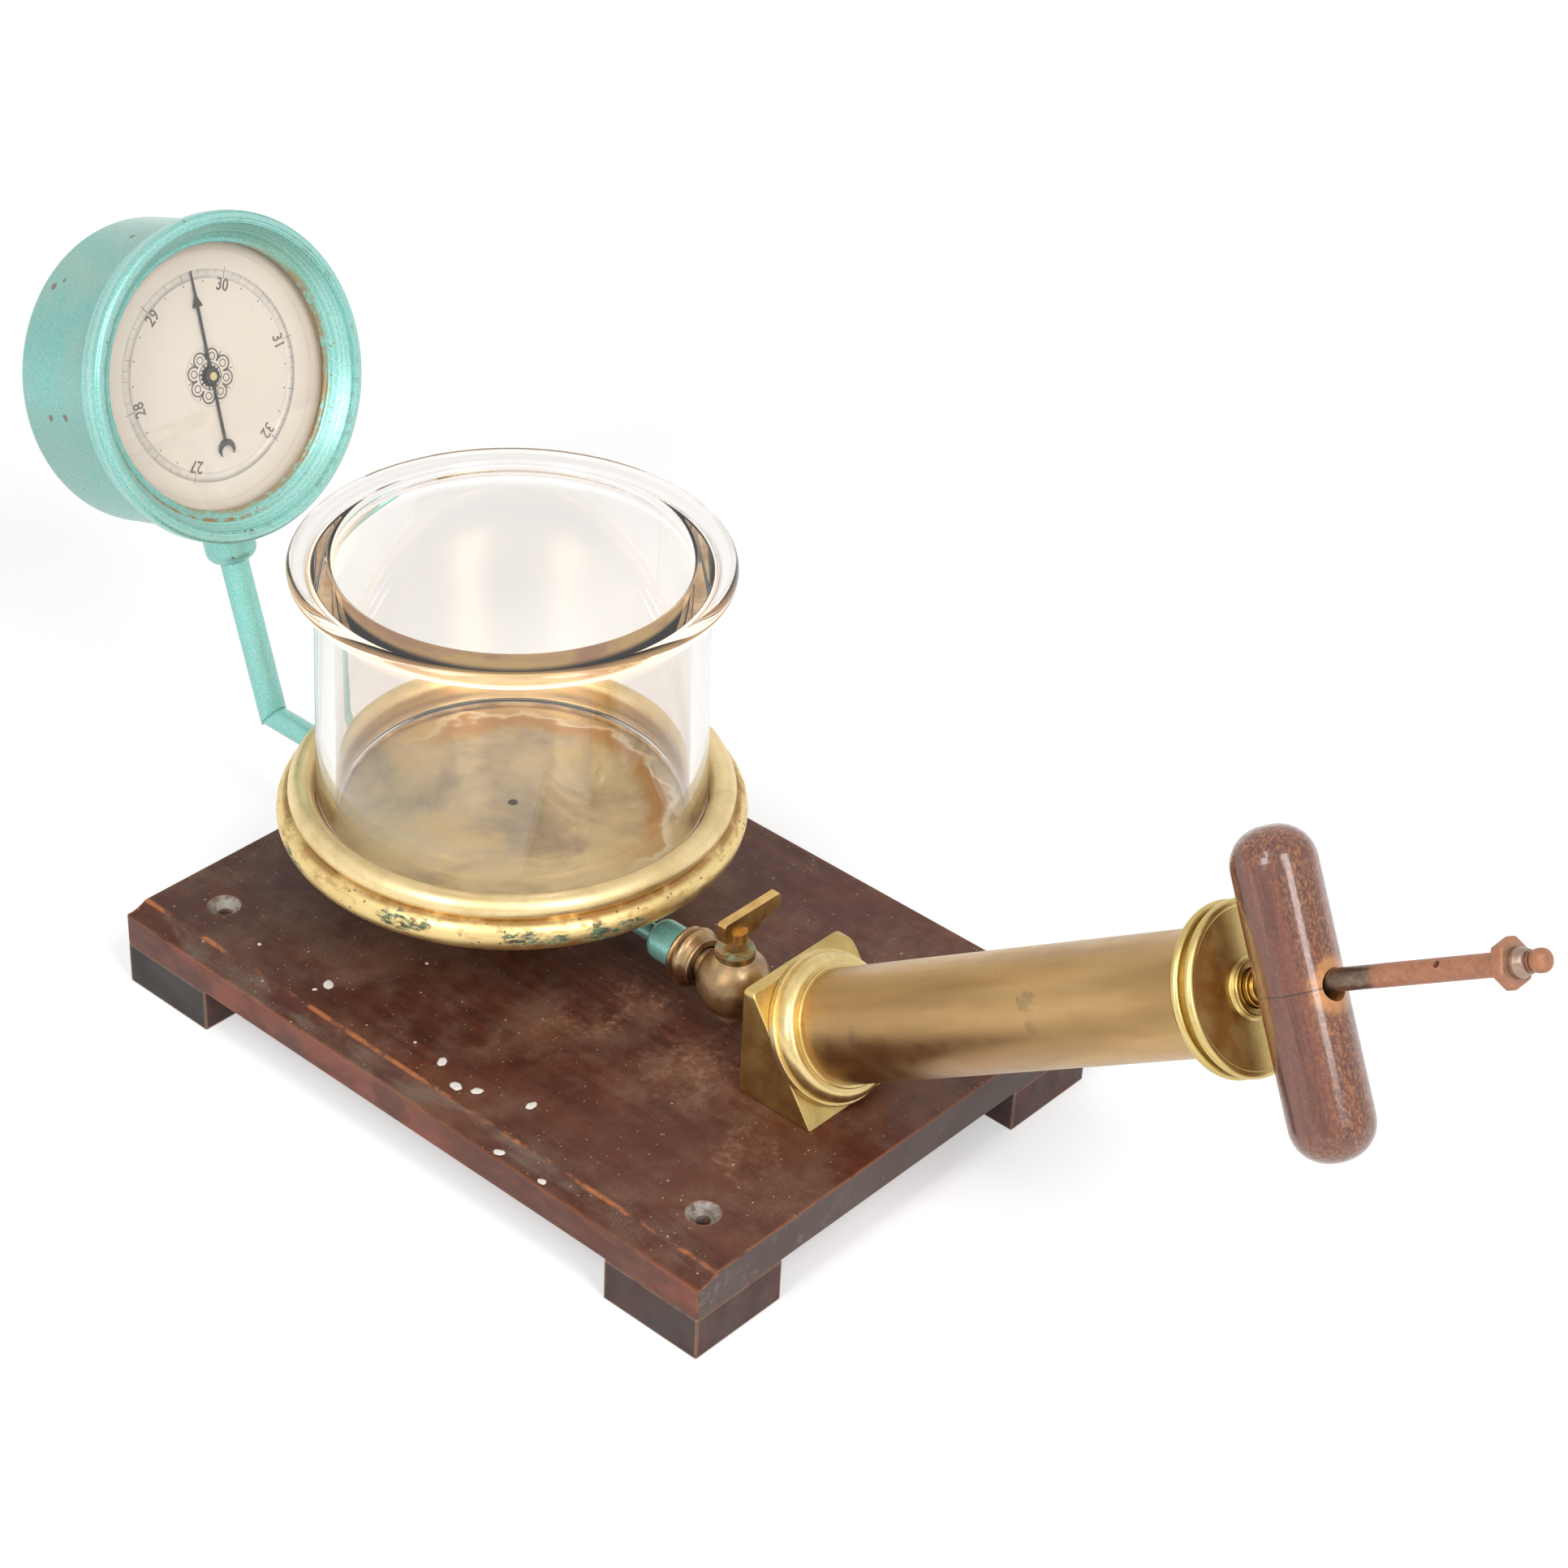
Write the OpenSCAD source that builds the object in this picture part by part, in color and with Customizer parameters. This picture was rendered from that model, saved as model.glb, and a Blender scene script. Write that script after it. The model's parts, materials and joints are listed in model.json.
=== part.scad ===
// Demonstration barometer: an aneroid gauge on a pipe, a pump plate with an open glass
// receiver, a stopcock and a sloping hand air pump, all on one wooden board on four feet.
// X runs along the board from the gauge to the pump handle, Y runs away from the coved
// edge and Z is up. The origin is the middle of the board, level with the feet's underside.

/* [Board] */
// Length of the board along X
board_l = 298; // [280:1:340]
// Width of the board along Y
board_w = 214; // [200:1:260]
// Thickness of the board
board_t = 16; // [14:0.5:22]
// Width of the cove along the front top edge
cove_w = 9.5; // [6:0.5:14]
// Drop of the cove at the front lip
cove_drop = 2.7; // [1.5:0.1:5]
// Radius of the cove
cove_r = 14; // [10:0.5:25]
// Length of each foot along X
foot_l = 44; // [38:1:56]
// Width of each foot along Y
foot_w = 43; // [38:1:56]
// Height of the feet
foot_h = 18; // [14:0.5:26]
// Distance of the bench holes from the board's short edges
bench_in_x = 24; // [18:0.5:29]
// Distance of the bench holes from the board's long edges
bench_in_y = 28; // [24:0.5:32]
// Diameter of the bench holes
bench_hole_d = 5.6; // [4.5:0.1:6.5]
// Diameter of the countersinks
countersink_d = 12.6; // [10:0.1:14]
// Depth of the countersinks
countersink_h = 3.6; // [2.5:0.1:5]

/* [Fasteners] */
// Radius of the wood screws that hold the feet
foot_screw_r = 2; // [1.5:0.1:2.6]
// Length of those screws
foot_screw_l = 24; // [20:0.5:28]
// Depth of their heads in the feet
foot_screw_sink = 2; // [1:0.5:4]
// Distance of those screws from the middle of a foot
foot_screw_off = 12; // [9:0.5:14]
// Radius of the screws that hold the pillar
pillar_screw_r = 1.8; // [1.4:0.1:2.3]
// Depth of those screws in the board
pillar_screw_l = 10; // [7:0.5:12]
// Circle on which they stand
pillar_screw_pcd = 38; // [37:0.5:39.5]
// Radius of the bolts under the wedge
wedge_screw_r = 2.5; // [2:0.1:3]
// Depth of those bolts in the wedge
wedge_screw_l = 10; // [7:0.5:12]
// Slack between a screw and its hole
screw_fit = 0.05; // [0.02:0.01:0.1]

/* [Pump plate] */
// Place of the plate's centre along X
plate_x = -54; // [-62:1:-50]
// Place of the pipe line and the plate's centre along Y
line_y = 5; // [0:0.5:10]
// Height of the gauge's pipe line over the board
line_h = 16.5; // [15.5:0.5:22]
// Height of the pump's pipe line over the board
pump_line_h = 20; // [19.5:0.5:21]
// Radius of the plate at its lower bead
plate_r = 89; // [86:0.5:92]
// Height of the plate's underside over the board
plate_lift = 36; // [34:0.5:44]
// Radius of the lower bead's section
low_bead_r = 6.4; // [5.6:0.1:7]
// Radius of the upper bead's section
top_bead_r = 5; // [4.5:0.1:5.5]
// Height of the upper bead's centre over the underside
top_bead_h = 15.2; // [14:0.1:16.5]
// Height of the floor over the underside
floor_h = 8; // [7:0.5:9]
// Thickness of the floor
floor_t = 5.5; // [4.5:0.1:6]
// Radius of the well that takes the glass
well_r = 74.5; // [74.2:0.1:76]
// Radius of the air port
port_r = 2; // [1.5:0.1:2.5]
// Radius of the air passages
passage_r = 2.5; // [2:0.1:2.8]

/* [Pillar] */
// Radius of the pillar
pillar_r = 13; // [11:0.5:15]
// Radius of the pillar's foot flange
pillar_flange_r = 24; // [23:0.5:27]
// Thickness of that flange
pillar_flange_t = 4; // [3:0.5:5]
// Radius of the spigot that holds the plate
spigot_r = 9; // [8:0.5:10]
// Length of that spigot in the plate
spigot_l = 5; // [3.5:0.1:5.2]
// Radius of the pipe bosses on the pillar
pipe_boss_r = 9; // [8.5:0.5:10]
// Distance of the boss faces from the pillar's centre
pipe_boss_l = 18; // [16:0.5:20]
// Depth of the pipes in their bosses
pipe_depth = 7; // [5:0.5:9]
// Thickness of the leather washer under the plate
washer_t = 1; // [0.6:0.1:1.5]

/* [Glass receiver] */
// Outer radius of the glass at the foot
jar_r = 73.9; // [72.5:0.1:74]
// Outer radius of the glass under the flange
jar_neck_r = 72.5; // [71:0.1:73]
// Thickness of the glass wall
jar_wall = 7.2; // [6:0.1:8]
// Height of the glass
jar_h = 106.3; // [90:0.5:130]
// Radius of the top flange
jar_flange_r = 81.8; // [80:0.1:84]
// Thickness of the top flange
jar_flange_t = 7; // [6:0.1:8]
// Fillet under the flange
jar_fillet = 4; // [3:0.1:5]
// Rounding of the mouth's inner edge
mouth_round = 2.4; // [1.5:0.1:3]
// Thickness of the sealing ring under the glass
seal_t = 1; // [0.6:0.1:1.5]

/* [Gauge pipe] */
// Place of the elbow along X
elbow_x = -191.5; // [-200:0.5:-186]
// Backward lean of the stem in degrees
gauge_tilt = 17.4; // [12:0.1:22]
// Distance from the pipe line to the gauge's centre
stem_l = 145; // [135:0.5:160]
// Radius of the horizontal pipe
gauge_pipe_r = 5; // [4.5:0.1:6]
// Radius of the stem
stem_r = 5.75; // [5:0.05:6.5]
// Radius of the bore in the horizontal pipe
gauge_bore_r = 3; // [2.9:0.1:3.5]
// Radius of the bore in the stem
stem_bore_r = 2.5; // [2:0.1:2.7]
// Radius of the socket under the gauge
socket_r = 10.25; // [9:0.05:11.5]
// Length of that socket
socket_l = 18; // [14:0.5:24]
// Radius of the spigot through the case wall
case_spigot_r = 4.6; // [4:0.1:5.5]

/* [Gauge case] */
// Outer radius of the drum
drum_r = 59.5; // [58:0.1:61]
// Wall of the drum
drum_wall = 1.8; // [1.4:0.1:2.2]
// Thickness of the drum's back
drum_back_t = 2; // [1.5:0.1:2.5]
// Rounding of the drum's back edge
drum_round = 4; // [3:0.1:5]
// Distance of the bezel's front from the stem's plane
bezel_front = 30.1; // [29:0.1:31]
// Depth of the gauge from the bezel's front to its back
gauge_depth = 56.2; // [55:0.1:62]
// Outer radius of the bezel
bezel_r = 63.7; // [63:0.1:65]
// Width of the bezel's outer band along the axis
bezel_band = 6.6; // [5:0.1:8]
// Radius of the bezel's opening
opening_r = 51.4; // [50:0.1:52.5]
// Depth of the opening behind the bezel's front
opening_depth = 10; // [9:0.1:11]
// Thickness of the bezel's lip over the glass
lip_t = 1.6; // [1.2:0.1:2]
// Wall of the bezel's skirt
skirt_wall = 1.8; // [1.4:0.1:2.2]
// Length of the skirt behind the band
skirt_l = 6; // [4:0.5:8]
// Thickness of the gauge glass
glass_t = 2.2; // [1.8:0.1:2.6]
// Thickness of the gasket in front of the glass
gasket_t = 0.6; // [0.4:0.1:1]
// Height of the ring between dial and glass
spacer_h = 3; // [2.8:0.1:3.6]
// Width of the ring, the gasket and the dial's ledge
ledge_w = 2.8; // [2:0.1:3.5]
// Thickness of the dial
dial_t = 1; // [0.8:0.1:1.4]
// Slack of the pieces that drop into the drum
drop_fit = 0.1; // [0.05:0.01:0.2]

/* [Gauge pointer] */
// Angle of the pointer clockwise from the top in degrees
pointer_angle = 3; // [-150:1:140]
// Reach of the pointer's tip
pointer_l = 41.5; // [36:0.5:46]
// Reach of the tail's crescent
tail_l = 29; // [20:0.5:32]
// Thickness of the pointer
pointer_t = 0.6; // [0.4:0.1:0.8]
// Radius of the pointer's hub
hub_r = 3.2; // [2.6:0.1:4]
// Height of the hub
hub_h = 1.9; // [1.5:0.1:2.2]
// Radius of the arbor
arbor_r = 0.8; // [0.6:0.05:1]
// Radius of the drum that takes the chain
chain_drum_r = 1.04; // [0.9:0.01:1.15]
// Play of the arbor and the pivots in their holes
pivot_fit = 0.05; // [0.02:0.01:0.1]

/* [Gauge movement] */
// Radius of the movement's base plate
movement_r = 46; // [44:0.5:50]
// Thickness of that plate
movement_t = 2; // [1.5:0.1:2.5]
// Radius of the sealed capsule
capsule_r = 26.5; // [24:0.1:26.8]
// Height of the capsule
capsule_h = 8; // [7:0.1:8.5]
// Wall of the capsule
capsule_wall = 0.8; // [0.5:0.1:1.1]
// Height of the main spring
mainspring_h = 14.1; // [13.8:0.1:14.6]
// Thickness of the main spring
mainspring_t = 1.2; // [1:0.1:1.5]
// Width of the main spring
mainspring_w = 14; // [12:0.5:16]
// Place of the spring's bend
bend_x = 36; // [35:0.5:38]
// Distance of the rocking shaft from the arbor
rocker_y = 16; // [15:0.5:17.5]
// Height of the chain over the rocking shaft
rocker_arm = 7.5; // [7.3:0.1:8]
// Length of the rocking shaft's crank
crank_l = 6; // [5.5:0.1:6.5]
// Reach of the main lever from the arbor
lever_reach = 28; // [27:0.5:29]
// Thickness of the main lever
lever_t = 1.4; // [1.2:0.1:1.6]

/* [Pump pipe and stopcock] */
// Radius of the thin pipe
pump_pipe_r = 3.55; // [3.2:0.05:4]
// Left end of the nipple along X
nipple_x = 22; // [18:0.5:25]
// Radius of the nipple
nipple_r = 8; // [7.5:0.1:8.4]
// Left face of the double collar along X
union_x = 36; // [35.5:0.1:36.3]
// Length of the double collar
union_l = 10.6; // [9:0.1:10.8]
// Radius of the double collar
union_r = 11.8; // [11.4:0.1:12.5]
// Place of the stopcock along X
cock_x = 61; // [60:0.5:62]
// Radius of the stopcock's ball
ball_r = 14; // [13.5:0.1:14.2]
// Radius of the left neck
neck_r = 6.5; // [6:0.1:7]
// Radius of the right neck where it meets the wedge
neck_end_r = 11; // [9:0.1:12]
// Radius of the turning plug
plug_r = 4.45; // [4:0.05:5]
// Radius of the top boss
boss_r = 7.5; // [7:0.1:8]
// Height of the top boss over the pipe line
boss_h = 14.4; // [14.2:0.1:15]
// Running clearance of the plug
plug_fit = 0.05; // [0.02:0.01:0.08]
// Thickness of the key's washer
key_washer_t = 1; // [0.6:0.1:1.4]
// Width of the plug's square stem
square_w = 5.6; // [4.8:0.1:6]
// Height of the lever's middle over the pipe line
key_h = 26; // [25:0.5:27.5]
// Long reach of the lever
key_long = 22; // [18:0.5:23]
// Short reach of the lever
key_short = 8.3; // [7:0.1:12]
// Thickness of the lever
key_t = 3.7; // [3:0.1:4.2]
// Height of the lever at its ends
key_end_h = 7.4; // [6:0.1:8.4]

/* [Pump] */
// Upward slope of the barrel in degrees
barrel_tilt = 33.3; // [32:0.1:35]
// Place of the wedge's upright face along X
wedge_x = 88.4; // [87:0.1:92]
// Height of the wedge
wedge_h = 45.5; // [45:0.1:48]
// Thickness of the wedge at its top
wedge_top_t = 4.4; // [3.6:0.1:5]
// Width of the wedge
wedge_w = 52.5; // [51:0.5:56]
// Bevel on the wedge's far top corner
wedge_bevel = 5; // [3:0.1:7]
// Length of the spigot inside the barrel
wedge_spigot_h = 6; // [4:0.5:7]
// Thickness of the leather gasket under the barrel
barrel_gasket_t = 1.2; // [0.8:0.1:1.6]
// Radius of the barrel's foot collar
collar_r = 28.3; // [27:0.1:28.5]
// Length of the foot collar
collar_l = 9; // [8:0.1:10]
// Outer radius of the barrel
barrel_r = 21; // [20:0.1:22]
// Inner radius of the barrel
bore_r = 18; // [17:0.1:18.5]
// Distance from the wedge's face to the cap's outer face
cap_k = 203.6; // [200:0.5:215]
// Radius of the end cap
cap_r = 28.8; // [27.5:0.1:30]
// Length of the end cap
cap_l = 9.2; // [8:0.1:11]
// Thickness of the cap's web
cap_web = 3.6; // [3:0.1:4.5]
// Radius of the ring boss on the cap
cap_boss_r = 9.5; // [9:0.1:11]
// Height of that boss
cap_boss_h = 2; // [1.5:0.1:3]
// Radius of the gland nut
gland_r = 5; // [4.8:0.1:6]
// Length of the gland nut over the boss
gland_l = 2.6; // [2:0.1:2.8]
// Radius of the packing chamber
packing_r = 6.4; // [6:0.1:7]
// Radius of the piston rod
rod_r = 3.75; // [3.3:0.05:4]
// Running clearance of the rod and the leather cup
slide_fit = 0.05; // [0.02:0.01:0.08]
// Distance from the wedge's face to the rod's tip
rod_tip_k = 319.4; // [317:0.5:330]
// Distance to the near face of the rod's nut
rod_nut_k = 303.3; // [302:0.1:305]
// Length of the rod's nut
rod_nut_l = 4.4; // [4:0.1:6]
// Radius over the corners of that nut
rod_nut_r = 8.3; // [8:0.1:8.8]
// Turn of the rod's nut about the rod in degrees
rod_nut_turn = 30; // [0:1:59]
// Distance to the rod's cross hole
cross_k = 280.3; // [275:0.1:290]
// Radius of the cross hole
cross_r = 1.2; // [0.8:0.1:1.5]
// Turn of the cross hole from the near side towards the top in degrees
cross_turn = 52; // [0:1:90]
// Length of the rod's rounded end past its groove
rod_end_l = 6; // [5:0.1:7]
// Distance to the piston's front
piston_k = 68; // [67:0.5:80]
// Thickness of the piston's front disc
front_disc_t = 4; // [3:0.1:5]
// Length of the leather cup
cup_l = 8; // [6:0.1:9]
// Thickness of the cup's leather
leather_t = 1.8; // [1.4:0.1:2]
// Thickness of the valve leathers
valve_t = 1; // [0.8:0.1:1.3]

/* [Handle] */
// Distance from the wedge's face to the handle's axis
handle_k = 223.5; // [223.3:0.1:227.5]
// Radius of the handle
handle_r = 14; // [13.6:0.1:14.2]
// Length of the handle
handle_l = 107.6; // [90:0.1:125]
// Turn of the handle about the rod in degrees
handle_turn = 12; // [-30:1:30]
// Radius of the hole for the rod
handle_hole_r = 5.25; // [4.6:0.05:6]
// Rounding of the handle's ends
handle_round = 12.5; // [6:0.1:13.5]

/* [Hidden] */
$fn = 72;

wood = [0.40, 0.25, 0.20];
dark_wood = [0.28, 0.24, 0.23];
red_wood = [0.50, 0.22, 0.13];
brass = [0.80, 0.68, 0.42];
dull_brass = [0.60, 0.49, 0.33];
bronze = [0.47, 0.36, 0.27];
steel = [0.62, 0.62, 0.60];
dark_steel = [0.32, 0.29, 0.27];
teal = [0.47, 0.76, 0.67];
glass_tint = [0.86, 0.85, 0.83, 0.45];
paper_white = [0.88, 0.84, 0.78];
black_paint = [0.10, 0.10, 0.10];
leather = [0.45, 0.32, 0.21];
rubber_grey = [0.35, 0.34, 0.32];
verdigris = [0.52, 0.66, 0.55];

eps = 0.01;
cut = 1;
board_top = foot_h + board_t;
line_z = board_top + line_h;
pump_line_z = board_top + pump_line_h;

// Pump plate and receiver heights
plate_z = board_top + plate_lift;
floor_z = plate_z + floor_h;
pillar_top = plate_z - washer_t;
jar_z = floor_z + seal_t;
jar_top = jar_z + jar_h;
mouth_r = jar_neck_r - jar_wall;
bead_x = well_r + top_bead_r;
low_bead_x = plate_r - low_bead_r;

// Gauge case stations along the case's own axis, with 0 in the stem's plane
drum_in = drum_r - drum_wall;
case_back = bezel_front - gauge_depth;
case_floor = case_back + drum_back_t;
lip_back = bezel_front - opening_depth;
glass_front = lip_back - gasket_t;
glass_back = glass_front - glass_t;
dial_front = glass_back - spacer_h;
dial_back = dial_front - dial_t;
inlay_r = drum_in - drop_fit;
ring_in = inlay_r - ledge_w;
ledge_t = 2;
drum_front = glass_front - drop_fit;
pointer_gap = 0.9;
pointer_z = dial_front + pointer_gap;

// Movement stations along the same axis
movement_top = case_floor + movement_t;
capsule_foot = 1;
capsule_post_r = 2.2;
capsule_rivet_h = 0.4;
capsule_bottom = movement_top + capsule_foot;
capsule_top = capsule_bottom + capsule_h;
mainspring_top = movement_top + mainspring_h;
lever_gap = 1.8;
lever_low = mainspring_top + lever_gap;
lever_mid = lever_low + lever_t / 2;
lever_pivot_x = 30;
lever_pivot_r = 1;
lever_half = 3;
cheek_t = 1;
link_r = 0.5;
link_l = 2.4;
link_play = 0.2;
crank_t = 1.4;
crank_play = 0.5;
rocker_z = lever_low + lever_t + link_play + link_l + crank_play + crank_t / 2;
chain_z = rocker_z + rocker_arm;
chain_w = 0.5;
chain_h = 0.8;
chain_tail = 3.4;
rocker_r = 1;
rocker_left = -30;
rocker_right = 24;
bridge_t = 1.2;
bridge_low = chain_z - 4.5;
bridge_high = chain_z + 2.1;
bridge_wall_y = -10;
bridge_foot_y = -32;
bridge_w = 8;
post_w = 6;
post_t = 2;
arbor_low = bridge_low - 0.3;
arbor_dot_h = 0.3;
collet_r = 1.2;
collet_z = bridge_low + bridge_t + 0.4;
collet_h = 1;
spring_turns = 3;
spring_steps = 20;
spring_pitch = 1.5;
spring_w = 0.3;
spring_h = 0.5;
movement_screw_pcd = 74;
movement_screw_r = 1.5;
screw_head = 1.9;

// Pump stations: the barrel's axis starts at the middle of the wedge's sloping face
seat_gap = 0.3;
face_z = board_top + collar_r * cos(barrel_tilt) + seat_gap;
wedge_top = board_top + wedge_h;
face_x = wedge_x + wedge_top_t + (wedge_top - face_z) * tan(barrel_tilt);
wedge_foot_x = face_x + (face_z - board_top) * tan(barrel_tilt);
joint_x = face_x - (face_z - pump_line_z) / tan(barrel_tilt);
wedge_screw_in = 11;
wedge_screw_y = 16;
spigot_slack = 0.1;
barrel_end = cap_k - cap_web;
cap_back = cap_k - cap_l;
packing_l = 4;
packing_floor = 0.8;
packing_k = barrel_end + packing_floor;
gland_k = packing_k + packing_l;
boss_k = cap_k + cap_boss_h;
cup_k = piston_k + front_disc_t;
back_disc_k = cup_k + leather_t;
back_disc_t = 4;
piston_valve_k = back_disc_k + back_disc_t;
piston_nut_k = piston_valve_k + valve_t;
piston_nut_l = 5;
rod_head_l = 2;
rod_head_r = 6;
piston_slack = 0.6;
air_hole_r = 1.5;
air_hole_ring = 10;
valve_screw_r = 1.2;
valve_screw_x = 5;
valve_screw_head = 1.3;
rod_round = 2.4;
rod_groove = 0.8;
groove_k = rod_tip_k - rod_end_l;
handle_drop = handle_hole_r - rod_r - slide_fit;
handle_shift = 2;

// Stopcock stations
cock_boss_z = pump_line_z + boss_h;
cock_low = pump_line_z - ball_r;
plug_top = cock_boss_z + key_washer_t + 0.4;
key_z = pump_line_z + key_h;
key_low = key_z - key_end_h / 2;
key_top = key_z + key_end_h / 2;
key_web = 4;
key_nut_r = 5.2;
key_nut_h = 2.6;
key_nut_gap = 0.1;
key_thread_r = 2.4;

// Frames of the sloping assemblies
module at_plate() translate([plate_x, line_y, 0]) children();
module at_gauge() translate([elbow_x, line_y, line_z]) rotate([0, -gauge_tilt, 0]) children();
module at_case() at_gauge() translate([0, 0, stem_l]) rotate([0, 90, 0]) children();
module at_pump() translate([face_x, line_y, face_z]) rotate([0, 90 - barrel_tilt, 0]) children();

// Plain shapes
module tube(r, ri, z0, z1)
translate([0, 0, z0])
difference() {
    cylinder(r = r, h = z1 - z0);
    translate([0, 0, -cut]) cylinder(r = ri, h = z1 - z0 + 2 * cut);
}

module post(r, z0, z1) translate([0, 0, z0]) cylinder(r = r, h = z1 - z0);

module x_bar(r, x0, x1) translate([x0, line_y, line_z]) rotate([0, 90, 0]) cylinder(r = r, h = x1 - x0);

module at_pump_line(x) translate([x, line_y, pump_line_z]) rotate([0, 90, 0]) children();

module pump_bar(r, x0, x1) at_pump_line(x0) cylinder(r = r, h = x1 - x0);

module slab(x0, x1, y0, y1, z0, z1) translate([x0, y0, z0]) cube([x1 - x0, y1 - y0, z1 - z0]);

function arc(cx, cy, r, a0, a1, n) =
    [for (i = [0 : n]) let (a = a0 + (a1 - a0) * i / n) [cx + r * cos(a), cy + r * sin(a)]];

// Board and feet
module cove_cut() {
    chord = norm([cove_w, cove_drop]);
    away = sqrt(cove_r * cove_r - chord * chord / 4);
    mid_y = -board_w / 2 + cove_w / 2 - away * cove_drop / chord;
    mid_z = board_top - cove_drop / 2 + away * cove_w / chord;
    translate([-board_l / 2 - cut, mid_y, mid_z])
    rotate([0, 90, 0])
    cylinder(r = cove_r, h = board_l + 2 * cut);
}

module bench_hole(sx, sy)
translate([sx * (board_l / 2 - bench_in_x), sy * (board_w / 2 - bench_in_y), 0]) {
    translate([0, 0, -cut]) cylinder(r = bench_hole_d / 2, h = board_top + 2 * cut);
    translate([0, 0, board_top - countersink_h])
        cylinder(r1 = bench_hole_d / 2, r2 = countersink_d / 2, h = countersink_h);
    translate([0, 0, board_top]) cylinder(r = countersink_d / 2, h = cut);
}

module countersunk(r, l) {
    cylinder(r = r, h = l);
    cylinder(r1 = r * screw_head, r2 = r, h = r * screw_head);
}

module foot_screw_at(sx, sy, side)
translate([
    sx * (board_l / 2 - foot_l / 2 - side * foot_screw_off),
    sy * (board_w / 2 - foot_w / 2 + side * foot_screw_off),
    foot_screw_sink
]) children();

module foot_screw_holes(sx, sy)
for (side = [-1, 1])
foot_screw_at(sx, sy, side) {
    countersunk(foot_screw_r + screw_fit, foot_screw_l + screw_fit);
    translate([0, 0, -foot_screw_sink - cut])
        cylinder(r = foot_screw_r * screw_head + screw_fit, h = foot_screw_sink + cut);
}

module wedge_screw_at()
for (p = [[wedge_screw_in, -wedge_screw_y], [wedge_screw_in, wedge_screw_y], [2 * wedge_screw_in, 0]])
translate([wedge_x + p[0], line_y + p[1], foot_h]) children();

module baseboard()
color(wood)
difference() {
    translate([-board_l / 2, -board_w / 2, foot_h]) cube([board_l, board_w, board_t]);
    cove_cut();
    for (sx = [-1, 1], sy = [-1, 1]) {
        bench_hole(sx, sy);
        foot_screw_holes(sx, sy);
    }
    pillar_screw_at() cylinder(r = pillar_screw_r + screw_fit, h = pillar_screw_l + cut);
    wedge_screw_at() countersunk(wedge_screw_r + screw_fit, board_t + cut);
}

module foot(sx, sy)
color(dark_wood)
difference() {
    translate([
        sx * (board_l / 2 - foot_l / 2) - foot_l / 2,
        sy * (board_w / 2 - foot_w / 2) - foot_w / 2,
        0
    ]) cube([foot_l, foot_w, foot_h]);
    bench_hole(sx, sy);
    foot_screw_holes(sx, sy);
}

module foot_screws()
color(steel)
for (sx = [-1, 1], sy = [-1, 1], side = [-1, 1])
foot_screw_at(sx, sy, side) countersunk(foot_screw_r, foot_screw_l);

// Pillar and pump plate
module pillar_screw_at()
at_plate()
for (a = [90, 210, 330])
rotate([0, 0, a]) translate([pillar_screw_pcd / 2, 0, board_top - pillar_screw_l]) children();

module pillar()
color(dull_brass)
difference() {
    union() {
        at_plate() post(pillar_flange_r, board_top, board_top + pillar_flange_t);
        at_plate() post(pillar_r, board_top + pillar_flange_t - eps, pillar_top);
        at_plate() post(spigot_r, pillar_top - eps, plate_z + spigot_l);
        x_bar(pipe_boss_r, plate_x - pipe_boss_l, plate_x);
        pump_bar(pipe_boss_r, plate_x, plate_x + pipe_boss_l);
    }
    at_plate() post(passage_r, line_z, plate_z + spigot_l + cut);
    x_bar(passage_r, plate_x - pipe_boss_l - cut, plate_x);
    pump_bar(passage_r, plate_x, plate_x + pipe_boss_l + cut);
    x_bar(gauge_pipe_r + screw_fit, plate_x - pipe_boss_l - cut, plate_x - pipe_boss_l + pipe_depth);
    pump_bar(pump_pipe_r + screw_fit, plate_x + pipe_boss_l - pipe_depth, plate_x + pipe_boss_l + cut);
    pillar_screw_at() cylinder(r = pillar_screw_r + screw_fit, h = pillar_screw_l + pillar_flange_t + cut);
}

module pillar_screws()
color(steel)
pillar_screw_at() {
    cylinder(r = pillar_screw_r, h = pillar_screw_l + pillar_flange_t);
    translate([0, 0, pillar_screw_l + pillar_flange_t]) cylinder(r = pillar_screw_r * screw_head, h = 2);
}

module pillar_washer()
color(leather)
at_plate() tube(pillar_r, spigot_r + screw_fit, pillar_top, plate_z);

module pump_plate()
color(brass)
at_plate()
translate([0, 0, plate_z])
difference() {
    rotate_extrude() {
        translate([well_r, 0]) square([low_bead_x - well_r, top_bead_h]);
        translate([low_bead_x, low_bead_r + 0.2]) circle(r = low_bead_r);
        translate([bead_x, top_bead_h]) circle(r = top_bead_r);
        translate([0, floor_h - floor_t]) square([well_r + 2, floor_t]);
        square([pillar_r + 3, floor_h]);
    }
    translate([0, 0, -cut]) cylinder(r = spigot_r + screw_fit, h = spigot_l + screw_fit + cut);
    cylinder(r = port_r, h = floor_h + cut);
}

// Glass receiver
module receiver_jar()
color(glass_tint)
at_plate()
rotate_extrude()
polygon(concat(
    [[jar_r - jar_wall, jar_z], [jar_r, jar_z]],
    arc(jar_neck_r + jar_fillet, jar_top - jar_flange_t - jar_fillet, jar_fillet, 180, 90, 6),
    arc(jar_flange_r - jar_flange_t / 2, jar_top - jar_flange_t / 2, jar_flange_t / 2, -90, 90, 12),
    arc(mouth_r + mouth_round, jar_top - mouth_round, mouth_round, 90, 180, 6)
));

module jar_seal()
color(rubber_grey)
at_plate() tube(jar_r, jar_r - jar_wall, floor_z, jar_z);

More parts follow.
